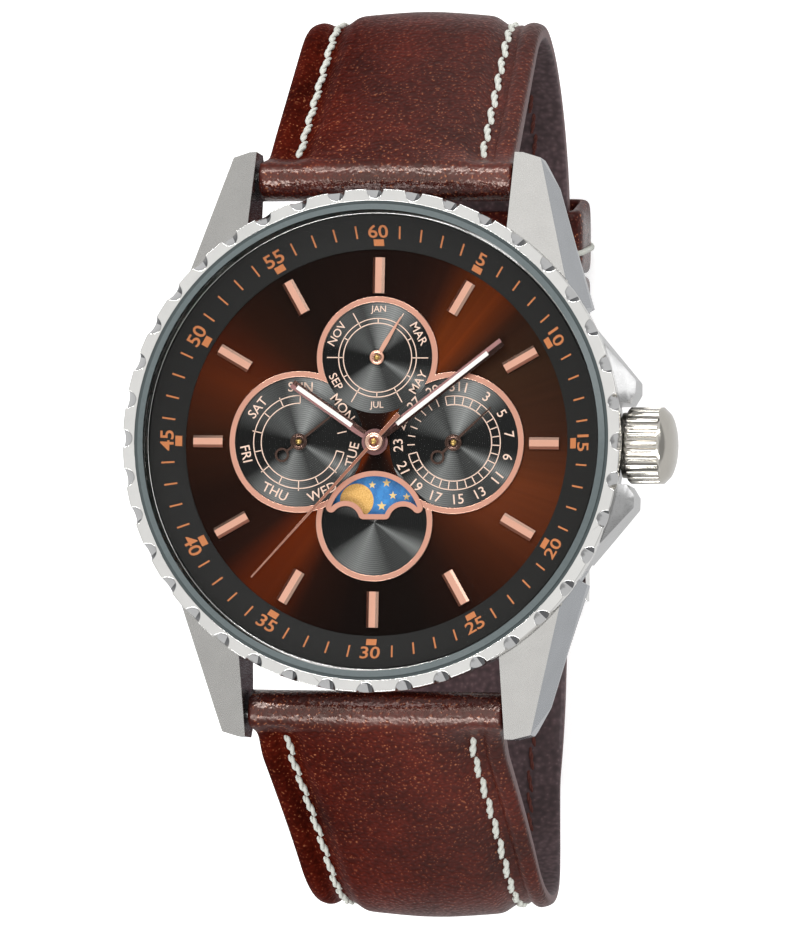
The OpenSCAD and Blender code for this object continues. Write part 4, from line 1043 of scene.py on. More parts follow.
@dataclass
class ChapterPrint:
    """The copper minute scale on the sloped ring."""

    numeral_r: float = 17.62
    numeral_h: float = 1.04
    numeral_weight: float = 0.012
    numeral_widen: float = 1.25
    turned: tuple[int, int] = (20, 40)
    block_r: float = 16.72
    block_w: float = 0.86
    block_l: float = 0.52
    tick_r: float = 17.6
    tick_l: float = 1.0
    tick_w: float = 0.14
    foot_in: float = 1.3
    foot_h: float = 0.1

    def build(self) -> None:
        """Prints twelve numerals with their blocks, and a tick for each other minute."""
        low, high = box_mm("chapter_ring")
        inner = -box_mm("dial_plate")[0].x - self.foot_in
        foot = low.z + self.foot_h
        rise = (high.z - low.z - self.foot_h) / (high.x - self.foot_h - inner)
        at = around((0, 0), lambda r: foot + max(0.0, r - inner) * rise)
        draft, words = Draft(), Lettering(self.numeral_weight)
        for minute in range(1, 61):
            angle = 6.0 * minute
            if minute % 5:
                draft.bar(at(angle, self.tick_r), self.tick_w, self.tick_l)
                continue
            inward = self.turned[0] <= minute <= self.turned[1]
            words.set_word(draft, str(minute), self.numeral_h,
                           at(angle, self.numeral_r, inward), widen=self.numeral_widen)
            draft.bar(at(angle, self.block_r), self.block_w, self.block_l)
        draft.build("chapter_print", Body.CASE, [COPPER_INK], Slot.COPPER_PRINT, False)


@dataclass
class SubDial:
    """One small dial's print: its labels, ring tracks and division lines.

    Labels are words with their angles, and divisions are lines with their angle and the
    distances of their two ends.
    """

    name: str
    centre: Pair
    labels: Sequence[tuple[str, float]]
    inward: Sequence[str]
    label_r: float
    label_h: float
    track: Pair
    sweep: Pair = (0.0, 360.0)
    divisions: Sequence[tuple[float, float, float]] = ()
    line: float = 0.085
    label_weight: float = 0.004
    facet: float = 4.0
    least_facets: int = 12

    def build(self, level: float) -> None:
        """Prints the dial.

        Args:
            level: Height of the dial's face in millimetres.
        """
        at = around(self.centre, lambda r: level)
        draft, words = Draft(), Lettering(self.label_weight)
        for word, angle in self.labels:
            place = at(angle, self.label_r, word in self.inward)
            words.set_word(draft, word, self.label_h, place, FINE_PRINT_TOP)
        for radius in self.track:
            self._arc(draft, at, radius)
        for angle, inner, outer in self.divisions:
            draft.bar(at(angle, (inner + outer) / 2), self.line, outer - inner, FINE_PRINT_TOP)
        draft.build(self.name, Body.CASE, [ROSE_INK], Slot.DIAL_PRINT, False)

    def _arc(self, draft: Draft, at: Callable[..., Place], radius: float) -> None:
        """Adds one ring track as a thin band.

        Args:
            draft: The mesh that it joins.
            at: Gives the place function of an angle and a distance.
            radius: The track's radius.
        """
        start, stop = self.sweep
        whole = stop - start >= 360
        steps = max(self.least_facets, int((stop - start) / self.facet))
        rings = []
        for k in range(steps if whole else steps + 1):
            angle = start + (stop - start) * k / steps
            inner, outer = at(angle, radius - self.line / 2), at(angle, radius + self.line / 2)
            rings.append([inner(0, 0, PRINT_FOOT), outer(0, 0, PRINT_FOOT),
                          outer(0, 0, FINE_PRINT_TOP), inner(0, 0, FINE_PRINT_TOP)])
        draft.rings(rings, close=whole)


@dataclass
class Dial:
    """Dial, chapter ring, small dials, markers and moon display."""

    month: Pair = (0.0, 7.1)
    day: Pair = (-6.5, 0.0)
    date: Pair = (6.6, 0.0)
    moon: Pair = (0.0, -6.7)
    plate_r: float = 4.65
    month_step: float = 360 / 12
    month_track: Pair = (2.9, 3.3)
    month_line_end: float = 4.3
    day_step: float = 360 / 7
    day_track: Pair = (3.25, 3.9)
    day_line_end: float = 4.1
    date_step: float = 360 / 31
    date_track: Pair = (3.2, 3.93)
    outside_from: float = 3.3
    stars: Sequence[tuple[float, float, float]] = (
        (-0.33, 3.17, 0.33), (0.88, 3.34, 0.38), (1.44, 2.3, 0.36), (2.6, 2.19, 0.34),
        (0.5, 1.41, 0.42))
    star_waist: float = 0.42
    star_sunk: float = 0.03
    moon_skin: float = 0.005
    frame_edge: float = 0.1
    marker_top: float = 0.95
    light_slant: float = 0.6

    def build(self) -> None:
        """Prints and dresses everything under the crystal."""
        level = box_mm("subdial_plates")[1].z
        self._finish_metal()
        # the frames' rounded edges take the painted highlight copy of the rose gold
        for node in ("subdial_frame", "moon_window_frame"):
            dress(node, [ROSE_FRAME, ROSE_HIGHLIGHT])
            soften(node, self.frame_edge, slot=1)
        ChapterPrint().build()
        for small in (self._month(), self._day(), self._date()):
            small.build(level)
        self._add_stars()

    def _finish_metal(self) -> None:
        """Gives plates and markers their finishes, face by face."""
        centres = {"month": self.month, "day": self.day, "date": self.date, "moon": self.moon}
        plates = [Azure(f"azure_{name}", centre=centre) for name, centre in centres.items()]

        def plate_of(middle: Vector, normal: Vector) -> int:
            """The small dial that a face belongs to.

            Args:
                middle: The face's middle.
                normal: Its normal; not used.

            Returns:
                The number of the small dial's finish.
            """
            for number, name in ((0, "month"), (3, "moon")):
                if math.dist(middle.xy, centres[name]) < self.plate_r:
                    return number
            return 1 if middle.x < 0 else 2

        dress("subdial_plates", plates, plate_of)
        dress("hour_markers", [ROSE, ROSE_HIGHLIGHT, ROSE_SHADE], self._marker_side)
        top = box_mm("moon_disc")[1].z - self.moon_skin
        dress("moon_disc", [SKY, MOONFACE], lambda middle, normal: int(middle.z > top))

    def _marker_side(self, middle: Vector, normal: Vector) -> int:
        """Painted highlight on bevels towards the light at the upper right, painted shade on
        those away from it.

        Args:
            middle: The face's middle; not used.
            normal: Its normal.

        Returns:
            The finish's number.
        """
        if normal.z > self.marker_top:
            return 0
        return 1 if normal.y + self.light_slant * normal.x > 0 else 2

    def _month(self) -> SubDial:
        """Six months named, with the others as long lines between them.

        Returns:
            The print.
        """
        names = ["JAN", "MAR", "MAY", "JUL", "SEP", "NOV"]
        step = self.month_step
        labels = [(name, 2 * step * k) for k, name in enumerate(names)]
        lines = [(2 * step * k, *self.month_track) for k in range(6)]
        lines += [(step * (2 * k + 1), self.month_track[0], self.month_line_end)
                  for k in range(6)]
        return SubDial("month_print", self.month, labels, names[2:5], label_r=4.02,
                       label_h=0.7, track=self.month_track, divisions=lines)

    def _day(self) -> SubDial:
        """Seven weekdays with half-day lines.

        Returns:
            The print.
        """
        names = ["SUN", "MON", "TUE", "WED", "THU", "FRI", "SAT"]
        labels = [(name, self.day_step * k) for k, name in enumerate(names)]
        inner, outer = self.day_track
        lines = [(self.day_step * k / 2, inner, outer if k % 2 == 0 else self.day_line_end)
                 for k in range(4, 15)]
        lines += [(self.day_step * half, self.outside_from, self.day_line_end)
                  for half in (0.5, 1.5)]
        return SubDial("day_print", self.day, labels, names[2:6], label_r=4.62, label_h=0.8,
                       track=self.day_track, sweep=(2 * self.day_step, 360.0),
                       divisions=lines)

    def _date(self) -> SubDial:
        """Odd dates numbered, with a line for each day.

        Returns:
            The print.
        """
        step = self.date_step
        labels = [(str(number), step * number) for number in range(1, 32, 2)]
        inner, outer = self.date_track
        lines = [(step * k, inner, outer) for k in range(-1, 23)]
        lines += [(step * k, self.outside_from, outer) for k in range(23, 30)]
        turned = [str(number) for number in range(9, 22, 2)]
        return SubDial("date_print", self.date, labels, turned, label_r=4.72, label_h=0.82,
                       track=self.date_track, sweep=(-step, 22 * step), divisions=lines)

    def _add_stars(self) -> None:
        """Two fields of small gold stars, one beside each moon, on the moon disc."""
        ground = box_mm("moon_disc")[1].z - self.star_sunk
        draft = Draft()
        for half in (1, -1):
            for x, y, size in self.stars:
                reach = [size * (1 if k % 2 == 0 else self.star_waist) for k in range(10)]
                corners = [(r * math.sin(math.pi * k / 5), r * math.cos(math.pi * k / 5))
                           for k, r in enumerate(reach)]
                middle = (self.moon[0] + half * x, self.moon[1] + half * y)
                draft.slab(corners,
                           lambda a, b, h, m=middle: (m[0] + a, m[1] + b, ground + h))
        draft.build("moon_stars", Body.MOON, [STAR], Slot.MOON, False)


@dataclass
class Case:
    """Case, bezel, lugs, crown and crystal.

    edges are the roundings' widths, and a slant is how far a face's normal leans: 1 is all
    the way along its axis.
    """

    edges: Sequence[tuple[str, float]] = (
        ("case_middle", 0.07), ("crown", 0.04), ("bezel", 0.06), ("buckle_frame", 0.2),
        ("buckle_tang", 0.15))
    guard_x: float = 17.0
    guard_y: float = 10.5
    top_slant: float = 0.55
    flank_r: float = 17.8
    flank_slant: float = 0.5
    bite_low_z: float = 7.0
    bite_slant: Pair = (0.12, 0.985)
    bite_shade: float = -0.2
    bevel_r: float = 19.0
    bevel_slant: float = 0.98

    def build(self) -> None:
        """Finishes the metal face by face and eases its edges."""
        dress("case_middle", [STEEL, STEEL_TOP_LIT, STEEL_SIDE_SHADED, GUARD], self._case_face)
        dress("bezel", [POLISHED, BITE, BITE_SHADE], self._bezel_face)
        dress("crystal", [GLASS, RIM], self._crystal_face)
        for node, width in self.edges:
            soften(node, width)
        LOG.info("case dressed")

    def _case_face(self, middle: Vector, normal: Vector) -> int:
        """Satin lug tops in a lighter, painted-highlight copy of the steel, brushed flanks in a
        darker, painted-shade copy, brushed guards, and lengthwise brushing elsewhere.

        Args:
            middle: The face's middle.
            normal: Its normal.

        Returns:
            The finish's number.
        """
        if middle.x > self.guard_x and abs(middle.y) < self.guard_y:
            return 3
        if normal.z > self.top_slant:
            return 1
        is_flank = math.hypot(middle.x, middle.y) > self.flank_r
        return 2 if abs(normal.z) < self.flank_slant and is_flank else 0

    def _bezel_face(self, middle: Vector, normal: Vector) -> int:
        """The bites are duller than the polished ring, with painted shade where they face left.

        Args:
            middle: The face's middle.
            normal: Its normal.

        Returns:
            The finish's number.
        """
        least, most = self.bite_slant
        if not least < math.hypot(normal.x, normal.y) < most or middle.z < self.bite_low_z:
            return 0
        outward = middle.xy.normalized()
        along = normal.xy - outward * normal.xy.dot(outward)
        return 2 if along.x < self.bite_shade else 1

    def _crystal_face(self, middle: Vector, normal: Vector) -> int:
        """The bevel and the side of the crystal show the gasket."""
        is_outside = math.hypot(middle.x, middle.y) > self.bevel_r
        return int(is_outside and abs(normal.z) < self.bevel_slant)


@dataclass
class Hands:
    """Hour, minute and seconds hands, and the hubs of every hand.

    A hub is a radius and a height over its hand for each corner, and kinds numbers the finish
    of each stretch between two corners.
    """

    main_hub: Sequence[Pair] = (
        (0.0, -0.1), (0.78, -0.1), (0.78, 0.02), (0.7, 0.06), (0.5, 0.06), (0.44, 0.0),
        (0.24, 0.0), (0.22, 0.08), (0.12, 0.12), (0.0, 0.13))
    small_hub: Sequence[Pair] = (
        (0.0, -0.1), (0.62, -0.1), (0.62, 0.02), (0.56, 0.05), (0.46, 0.05), (0.4, 0.0),
        (0.2, 0.0), (0.18, 0.06), (0.1, 0.09), (0.0, 0.1))
    kinds: Sequence[int] = (1, 1, 0, 0, 0, 1, 2, 2, 2)
    sides: int = 40
    needle_edge: float = 0.045
    shade_from: float = -0.05

    def build(self) -> None:
        """One side of each bevelled hand gets a painted lit copy of its metal and the other a
        painted shade copy.
        """
        for node in ("hour_hand", "minute_hand"):
            low, high = box_mm(node)
            far = high if abs(high.x) > abs(low.x) else low
            tip = Vector((far.x, high.y, 0)).normalized()
            side = Vector((-tip.y, tip.x, 0))
            dress(node, [HAND_LIT, HAND_SHADE],
                  lambda middle, normal, s=side: int(normal.dot(s) < self.shade_from))
        # the seconds hand: painted shade on its body, painted highlight on its rounded edges and
        # hub rim
        dress("seconds_hand", [ROSE_SHADE, ROSE_HIGHLIGHT])
        soften("seconds_hand", self.needle_edge, slot=1)
        self._cap("seconds_hand", Body.SECONDS, (0.0, 0.0), self.main_hub, ROSE_HIGHLIGHT)
        for node, body, centre, rim in (("month_hand", Body.MONTH, Dial.month, ROSE),
                                        ("day_hand", Body.WEEKDAY, Dial.day, NEEDLE),
                                        ("date_hand", Body.DATE, Dial.date, NEEDLE)):
            self._cap(node, body, centre, self.small_hub, rim)
        LOG.info("hands dressed")

    def _cap(self, node: str, body: Body, centre: Pair, rings: Sequence[Pair],
             rim: Finish) -> None:
        """Sets a hub on a hand: a dark dish in a bright rim, with a gold pin in its middle.

        Args:
            node: The hand.
            body: The body that the hand rides on.
            centre: The arbor's place.
            rings: The hub's corners.
            rim: The rim's finish.
        """
        top = box_mm(node)[1].z
        draft = Draft()
        for (r0, h0), (r1, h1), kind in zip(rings, rings[1:], self.kinds):
            for k in range(self.sides):
                a, b = (2 * math.pi * i / self.sides for i in (k, k + 1))
                draft.add([(centre[0] + r * math.cos(t), centre[1] + r * math.sin(t), top + h)
                           for r, h, t in ((r0, h0, a), (r0, h0, b), (r1, h1, b), (r1, h1, a))],
                          [(0, 1, 2, 3)], kind)
        draft.weld()
        draft.build(node + "_hub", body, [rim, HUB_DARK, BRASS], Slot.ROSE)


@dataclass
class StrapProfile:
    """How a strap half is shaped across its width, measured in from its side.

    From the side inwards come an eased edge, a bead, a groove, the stitches' valley and the
    pad, which rises and then crowns to the strap's middle.
    """

    groove_at: float = 1.75
    groove_w: float = 0.13
    groove_h: float = 0.16
    stitch_at: float = 2.65
    valley_w: float = 0.4
    valley_h: float = 0.2
    pad_from: float = 3.0
    pad_rise: float = 1.5
    crown_before: float = 0.4
    crown_power: float = 0.4
    pad_h: float = 1.15
    rise_share: float = 0.62
    crown_share: float = 0.38
    bead_at: float = 0.95
    bead_w: float = 0.5
    bead_h: float = 0.22
    edge_w: float = 0.35
    edge_h: float = 0.28

    def height(self, inset: np.ndarray, half_w: float, pad: float) -> np.ndarray:
        """Height of the outer face over the plain solid, zero at the middle of the pad.

        Args:
            inset: Distances in from the side.
            half_w: Half the strap's width there.
            pad: How much of the padding is present, 0 to 1.

        Returns:
            The heights.
        """
        def hump(at: float, width: float, height: float) -> np.ndarray:
            """A round hump along the strap."""
            return height * np.exp(-((inset - at) / width) ** 2)

        rise = smooth(self.pad_from, self.pad_from + self.pad_rise, inset)
        crown = 1 - np.clip((half_w - inset) / (half_w - self.pad_from), 0, 1) ** 2
        share = self.rise_share * rise + self.crown_share * crown * smooth(
            self.pad_from - self.crown_before, half_w, inset) ** self.crown_power
        bead = hump(self.bead_at, self.bead_w, self.bead_h)
        groove = hump(self.groove_at, self.groove_w, -self.groove_h)
        valley = hump(self.stitch_at, self.valley_w, -self.valley_h)
        edge = -self.edge_h * np.clip(1 - inset / self.edge_w, 0, 1) ** 2
        return pad * (self.pad_h * (share - 1) + bead + groove + valley) + edge


@dataclass
class StrapPath:
    """A strap half's side view: a roll, a straight slope, a turn and a curve at the back.

    sign is 1 for the half at 12 o'clock and -1 for the other, back_z is the height of the back
    curve's centre, and slope is how steeply the straight part falls, in degrees.
    """

    node: str
    bar_node: str
    sign: int
    back_z: float
    slope: float = 48.6
    turn_r: float = 11.0
    roll_steps: int = 14
    slope_steps: int = 24
    turn_steps: int = 12
    back_steps: int = 24

    def __post_init__(self) -> None:
        """Works out the centres of the turn and of the back curve from the solid's box."""
        low, high = box_mm(self.node)
        bar_low, bar_high = box_mm(self.bar_node)
        self.bar_y = abs(bar_low.y + bar_high.y) / 2
        self.bar_z = (bar_low.z + bar_high.z) / 2
        self.roll_r = high.z - self.bar_z
        self.low_z = low.z
        self.half_w = high.x if self.sign > 0 else -low.x
        self.out_r = self.back_z - low.z
        tilt = math.radians(self.slope)
        self.turn_y = (high.y if self.sign > 0 else -low.y) - self.turn_r
        lift = math.sin(tilt) * (self.bar_y - self.turn_y) + self.roll_r - self.turn_r
        self.turn_z = self.bar_z + lift / math.cos(tilt)
        drop = self.turn_z - self.back_z
        self.back_y = self.turn_y - math.sqrt((self.out_r - self.turn_r) ** 2 - drop ** 2)
        self.meet = math.degrees(math.atan2(drop, self.turn_y - self.back_y))

    def face(self, depth: float) -> list[Pair]:
        """Points along one face, from the case's side of the roll to the flat at the back.

        Args:
            depth: How far the face lies under the outer one, which is 0.

        Returns:
            The points, as many for one face as for the other.
        """
        radius = self.turn_r - depth
        begin = roll_end = 90 - self.slope
        if depth > 0:
            y, z = self.turn_y - self.bar_y, self.turn_z - self.bar_z + self.roll_r
            begin = math.degrees(math.atan2(z, y) + math.asin(radius / math.hypot(y, z))) + 90
            roll_end = 270
        points = self._arc(self.bar_y, self.bar_z, self.roll_r, 180, roll_end, self.roll_steps)
        turn = self._arc(self.turn_y, self.turn_z, radius, begin, self.meet, self.turn_steps)
        (y0, z0), (y1, z1) = points[-1], turn[0]
        points += [(y0 + (y1 - y0) * k / self.slope_steps, z0 + (z1 - z0) * k / self.slope_steps)
                   for k in range(1, self.slope_steps)]
        back = self._arc(self.back_y, self.back_z, self.out_r - depth, self.meet, -90,
                         self.back_steps)
        return points + turn + back[1:]

    @staticmethod
    def _arc(y: float, z: float, radius: float, begin: float, stop: float,
             steps: int) -> list[Pair]:
        """Points on an arc about a centre, between two angles in degrees."""
        turns = np.radians(np.linspace(begin, stop, steps + 1))
        return [(y + radius * math.cos(t), z + radius * math.sin(t)) for t in turns]


@dataclass
class Stitch:
    """One stitch of twisted plies, in millimetres at full size."""

    plies: int = 2
    points: int = 11
    overlap: float = 0.15
    slant: float = 0.42
    arch_h: float = 0.36
    sunk: float = 0.2
    turns: float = 1.3
    swing: float = 0.135
    ply_r: float = 0.19
    end_swing: float = 0.35
    end_r: float = 0.45
    inside_size: float = 0.62


@dataclass
class StrapHalf:
    """A padded strap half that follows the plain solid's path.

    The pad rises along pad_along and thins over thin_shares of the half's length. A half that
    runs over another ends in a tip, rounded by a power down to a least share of its width.
    slot_z and hole_z say how far the openings' cutters reach from the strap's lowest face.
    """

    path: StrapPath
    thick: float
    lean: float = 0.0
    over: Optional[StrapPath] = None
    profile: StrapProfile = field(default_factory=StrapProfile)
    stitch: Stitch = field(default_factory=Stitch)
    fill: float = 0.6
    flare: float = 0.4
    flare_along: Pair = (1.4, 3.6)
    taper: float = 1.1
    pad_along: Pair = (0.5, 3.8)
    thin_shares: Pair = (0.5, 0.72)
    thinned: float = 0.8
    flat_steps: int = 13
    end_steps: int = 6
    over_steps: int = 29
    tail_angle: float = 12.0
    tail_steps: int = 8
    tail_l: float = 9.0
    stitch_pitch: float = 2.5
    stitch_from: float = 3.4
    stitch_end: float = 4.5
    insets: Sequence[float] = (0.0, 0.12, 0.3, 0.6, 0.95, 1.3, 1.52, 1.66, 1.75, 1.84, 1.98,
                               2.3, 2.6, 2.9, 3.2, 3.6, 4.0, 4.4, 5.0, 6.0, 7.3, 8.7, 9.4)
    lining_in: float = 0.12
    lining_points: int = 13
    edge_ease: float = 0.1
    least_t: float = 0.15
    middle_room: float = 0.2
    padded_t: float = 0.3
    tip: Pair = (2.6, 0.02)
    slot_y: Pair = (-4.0, 2.2)
    slot_z: Pair = (-4.0, 8.0)
    slot_gap: float = 0.2
    hole_r: float = 0.9
    hole_pitch: float = 6.5
    first_hole_y: float = -16.4
    hole_count: int = 6
    hole_sides: int = 24
    hole_z: Pair = (-6.0, 3.0)

    def build(self) -> bpy.types.Object:
        """Builds the half, its holes, its edge and its seams.

        Returns:
            The leather piece.
        """
        self._lay_path()
        piece = self._skin()
        self._cut_openings(piece)
        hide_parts(self.path.node)
        self._sew()
        return piece

    def _lay_path(self) -> None:
        """Lays pairs of outer and inner points along the half, from its roll to its end."""
        path = self.path
        outer, inner = path.face(0.0), path.face(self.thick)
        self.low_z = box_mm("strap_upper")[0].z
        if self.over is not None:
            self._add_tail(outer, inner)
        else:
            self._add_end(outer, inner)
        self.outer, self.inner = np.array(outer), np.array(inner)
        steps_out = np.linalg.norm(np.diff(self.outer, axis=0), axis=1)
        self.along = np.concatenate([[0], np.cumsum(steps_out)]) - math.pi / 2 * path.roll_r
        ahead = np.gradient(self.outer, axis=0)
        ahead /= np.linalg.norm(ahead, axis=1)[:, None]
        self.up = np.stack([-ahead[:, 1], ahead[:, 0]], axis=1)
        roll_low = path.bar_z - path.roll_r
        share = np.clip((roll_low - self.outer[:, 1]) / (roll_low - self.low_z), 0, 1)
        self.half_w = path.half_w - self.taper * share - self.flare * (
            smooth(*self.flare_along, self.along) - share)
        self.shift = self.lean * np.sin(math.pi * share)
        total = self.along[-1]
        thin_from, thin_to = (part * total for part in self.thin_shares)
        self.pad = smooth(*self.pad_along, self.along) * (
            1 - self.thinned * smooth(thin_from, thin_to, self.along))
        if self.over is not None:
            left = np.clip((total - self.along) / self.tail_l, 0, 1)
            power, least = self.tip
            self.half_w *= np.sqrt(np.clip(1 - (1 - left) ** power, least, 1))

    def _add_end(self, outer: list[Pair], inner: list[Pair]) -> None:
        """Runs the half flat to the buckle's bar and rounds its end.

        Args:
            outer: Points of the outer face, which get more.
            inner: Points of the inner face, which get more.
        """
        path, half = self.path, self.thick / 2
        middle = path.low_z + half
        for y in np.linspace(path.back_y, 0, self.flat_steps + 1)[1:]:
            outer.append((y, path.low_z))
            inner.append((y, path.low_z + self.thick))
        for k in range(1, self.end_steps + 1):
            turn = math.radians(90 * k / self.end_steps)
            outer.append((-half * math.sin(turn), middle - half * math.cos(turn)))
            inner.append((-half * math.sin(turn), middle + half * math.cos(turn)))

    def _add_tail(self, outer: list[Pair], inner: list[Pair]) -> None:
        """Runs the half flat to the other half's back curve and then up round it.

        Args:
            outer: Points of the outer face, which get more.
            inner: Points of the inner face, which get more.
        """
        over, low_z = self.over, self.path.low_z
        for y in np.linspace(self.path.back_y, -over.back_y, self.over_steps + 1)[1:]:
            outer.append((y, low_z))
            inner.append((y, low_z + self.thick))
        radius = over.back_z - low_z
        for k in range(1, self.tail_steps + 1):
            turn = math.radians(self.tail_angle * k / self.tail_steps)
            for side, r in ((outer, radius), (inner, radius - self.thick)):
                side.append((-over.back_y - r * math.sin(turn), over.back_z - r * math.cos(turn)))

    def _point(self, y: float, z: float, x: float) -> Point:
        """A point of this half, on its own side of the watch."""
        return x, self.path.sign * y, z

    def _skin(self) -> bpy.types.Object:
        """Skins the half as rings across its width.

        Returns:
            The piece, without its openings.
        """
        draft = Draft()
        rings = []
        for (oy, oz), (iy, iz), (uy, uz), half, shift, pad in zip(
                self.outer, self.inner, self.up, self.half_w, self.shift, self.pad):
            room = math.hypot(oy - iy, oz - iz)
            inset = np.array(self.insets) * min(
                1.0, half / (self.insets[-1] + self.middle_room))
            rise = self.profile.height(inset, half, pad)
            rise = (np.maximum(rise, self.least_t - room) if room > self.padded_t
                    else np.zeros_like(rise))
            xs = np.concatenate([-(half - inset), (half - inset)[::-1]])
            up = np.concatenate([rise, rise[::-1]])
            top = [self._point(oy + uy * h, oz + uz * h, shift + x) for x, h in zip(xs, up)]
            lining_x = half - self.lining_in
            under = [self._point(iy, iz, shift + x)
                     for x in np.linspace(lining_x, -lining_x, self.lining_points)]
            ease = min(self.edge_ease, room / 4)
            side = [self._point(iy + uy * ease, iz + uz * ease, shift + x)
                    for x in (half, -half)]
            rings.append(top + [side[0]] + under + [side[1]])
        draft.rings(rings)
        self._sort_faces(draft, len(rings[0]))
        if self.path.sign > 0:
            draft.faces = [tuple(reversed(face)) for face in draft.faces]
        piece = draft.build(self.path.node + "_leather", Body.CASE, [LEATHER, EDGE, LINING])
        refine(piece)
        return piece

    def _sort_faces(self, draft: Draft, size: int) -> None:
        """Numbers the faces' finishes: outer leather, cut edge and lining.

        Args:
            draft: The skin, with its two end faces last.
            size: How many faces it has round.
        """
        tops = size - self.lining_points - 2
        count = len(draft.faces)
        for number in range(count):
            column = number % size
            if number >= count - 2 or column in (tops - 1, size - 1):
                draft.kinds[number] = 1
            elif column >= tops:
                draft.kinds[number] = 2

    def _cut_openings(self, piece: bpy.types.Object) -> None:
        """Cuts the tang's slot in the buckle half, and the row of holes in the other.

        Args:
            piece: The half's leather.
        """
        draft = Draft()
        if self.over is None:
            slot_w = box_mm("buckle_tang")[1].x + self.slot_gap
            low, high = zip(self.slot_y, self.slot_z)
            draft.add(*self._block((-slot_w, low[0], self.low_z + low[1]),
                                   (slot_w, high[0], self.low_z + high[1])))
        else:
            turns = [2 * math.pi * k / self.hole_sides for k in range(self.hole_sides)]
            for number in range(self.hole_count):
                y = self.first_hole_y + number * self.hole_pitch
                draft.rings([[(self.hole_r * math.cos(a), y + self.hole_r * math.sin(a), z)
                              for a in turns] for z in (self.low_z + h for h in self.hole_z)])
        self._subtract(piece, draft)

    @staticmethod
    def _block(low: Point, high: Point) -> tuple[list[Point], list[tuple[int, ...]]]:
        """A block between two corners.

        Args:
            low: The lowest corner.
            high: The highest corner.

        Returns:
            Its corners and its faces.
        """
        corners = [(x, y, z) for z in (low[2], high[2]) for x, y in (
            (low[0], low[1]), (high[0], low[1]), (high[0], high[1]), (low[0], high[1]))]
        return corners, [(3, 2, 1, 0), (4, 5, 6, 7), (0, 1, 5, 4), (1, 2, 6, 5), (2, 3, 7, 6),
                         (3, 0, 4, 7)]

    @staticmethod
    def _subtract(piece: bpy.types.Object, draft: Draft) -> None:
        """Cuts a draft's solids out of a piece.

        Args:
            piece: The piece.
            draft: The solids.
        """
        cutter = draft.build("cutter", Body.CASE, [LINING])
        cut = piece.modifiers.new("cut", "BOOLEAN")
        cut.operation = "DIFFERENCE"
        cut.solver = "EXACT"
        cut.object = cutter
        bake_modifiers(piece)
        mesh = cutter.data
        bpy.data.objects.remove(cutter)
        bpy.data.meshes.remove(mesh)

    def face_point(self, along: float, inset: float, side: int, height: float,
                   is_inside: bool = False) -> np.ndarray:
        """A point over the outer or the inner face.

        Args:
            along: Distance along the outer face, from the top of the roll.
            inset: Distance in from the side.
            side: 1 for the crown's side and -1 for the other.
            height: Height over the face.
            is_inside: Whether the inner face is meant.

        Returns:
            The point.
        """
        def mean(values: np.ndarray) -> float:
            """The value at that distance."""
            return float(np.interp(along, self.along, values))
        half, shift, pad = mean(self.half_w), mean(self.shift), mean(self.pad)
        uy, uz = mean(self.up[:, 0]), mean(self.up[:, 1])
        path = self.inner if is_inside else self.outer
        lift = -height if is_inside else height + float(self.profile.height(
            np.array([inset]), half, pad)[0])
        return np.array(self._point(mean(path[:, 0]) + uy * lift, mean(path[:, 1]) + uz * lift,
                                    shift + side * (half - inset)))

    def _sew(self) -> None:
        """Sews a seam along each side, with its small stitches inside."""
        outside, inside = Draft(), Draft()
        stop = self.along[-1] - (self.stitch_end if self.over is None else self.tail_l)
        count = int((stop - self.stitch_from) / self.stitch_pitch)
        for side in (1, -1):
            for k in range(count):
                start = self.stitch_from + k * self.stitch_pitch
                self._stitch(outside, start, side, 1.0, False)
                self._stitch(inside, start + 0.5 * self.stitch_pitch, side,
                             self.stitch.inside_size, True)
        name = self.path.node + "_stitches"
        outside.build(name, Body.CASE, [THREAD], Slot.LEATHER)
        inside.build(name + "_inside", Body.CASE, [THREAD_BROWN], Slot.LEATHER)

    def _stitch(self, draft: Draft, start: float, side: int, size: float,
                is_inside: bool) -> None:
        """Adds one stitch of twisted plies that dives into the leather at both ends.

        Args:
            draft: The mesh that it joins.
            start: Where it begins along the half.
            side: 1 for the crown's side and -1 for the other.
            size: Its size, as a factor.
            is_inside: Whether it lies on the inner face.
        """
        made = self.stitch
        length = self.stitch_pitch + made.overlap
        t = np.linspace(0, 1, made.points)
        arch = np.sin(math.pi * t) ** 0.5
        path = np.array([
            self.face_point(start + length * u, self.profile.stitch_at + made.slant * (u - 0.5),
                            side, size * (made.arch_h * a - made.sunk), is_inside)
            for u, a in zip(t, arch)])
        ahead = np.gradient(path, axis=0)
        ahead /= np.linalg.norm(ahead, axis=1)[:, None]
        across = np.cross(ahead, (1.0, 0.0, 0.0))
        across /= np.linalg.norm(across, axis=1)[:, None]
        third = np.cross(ahead, across)
        swing = made.swing * size * (made.end_swing + (1 - made.end_swing) * arch)
        radius = made.ply_r * size * (made.end_r + (1 - made.end_r) * arch)
        for ply in range(made.plies):
            turn = 2 * math.pi * (made.turns * t + ply / made.plies)
            twist = (path + (np.cos(turn) * swing)[:, None] * across
                     + (np.sin(turn) * swing)[:, None] * third)
            draft.tube(twist, radius)


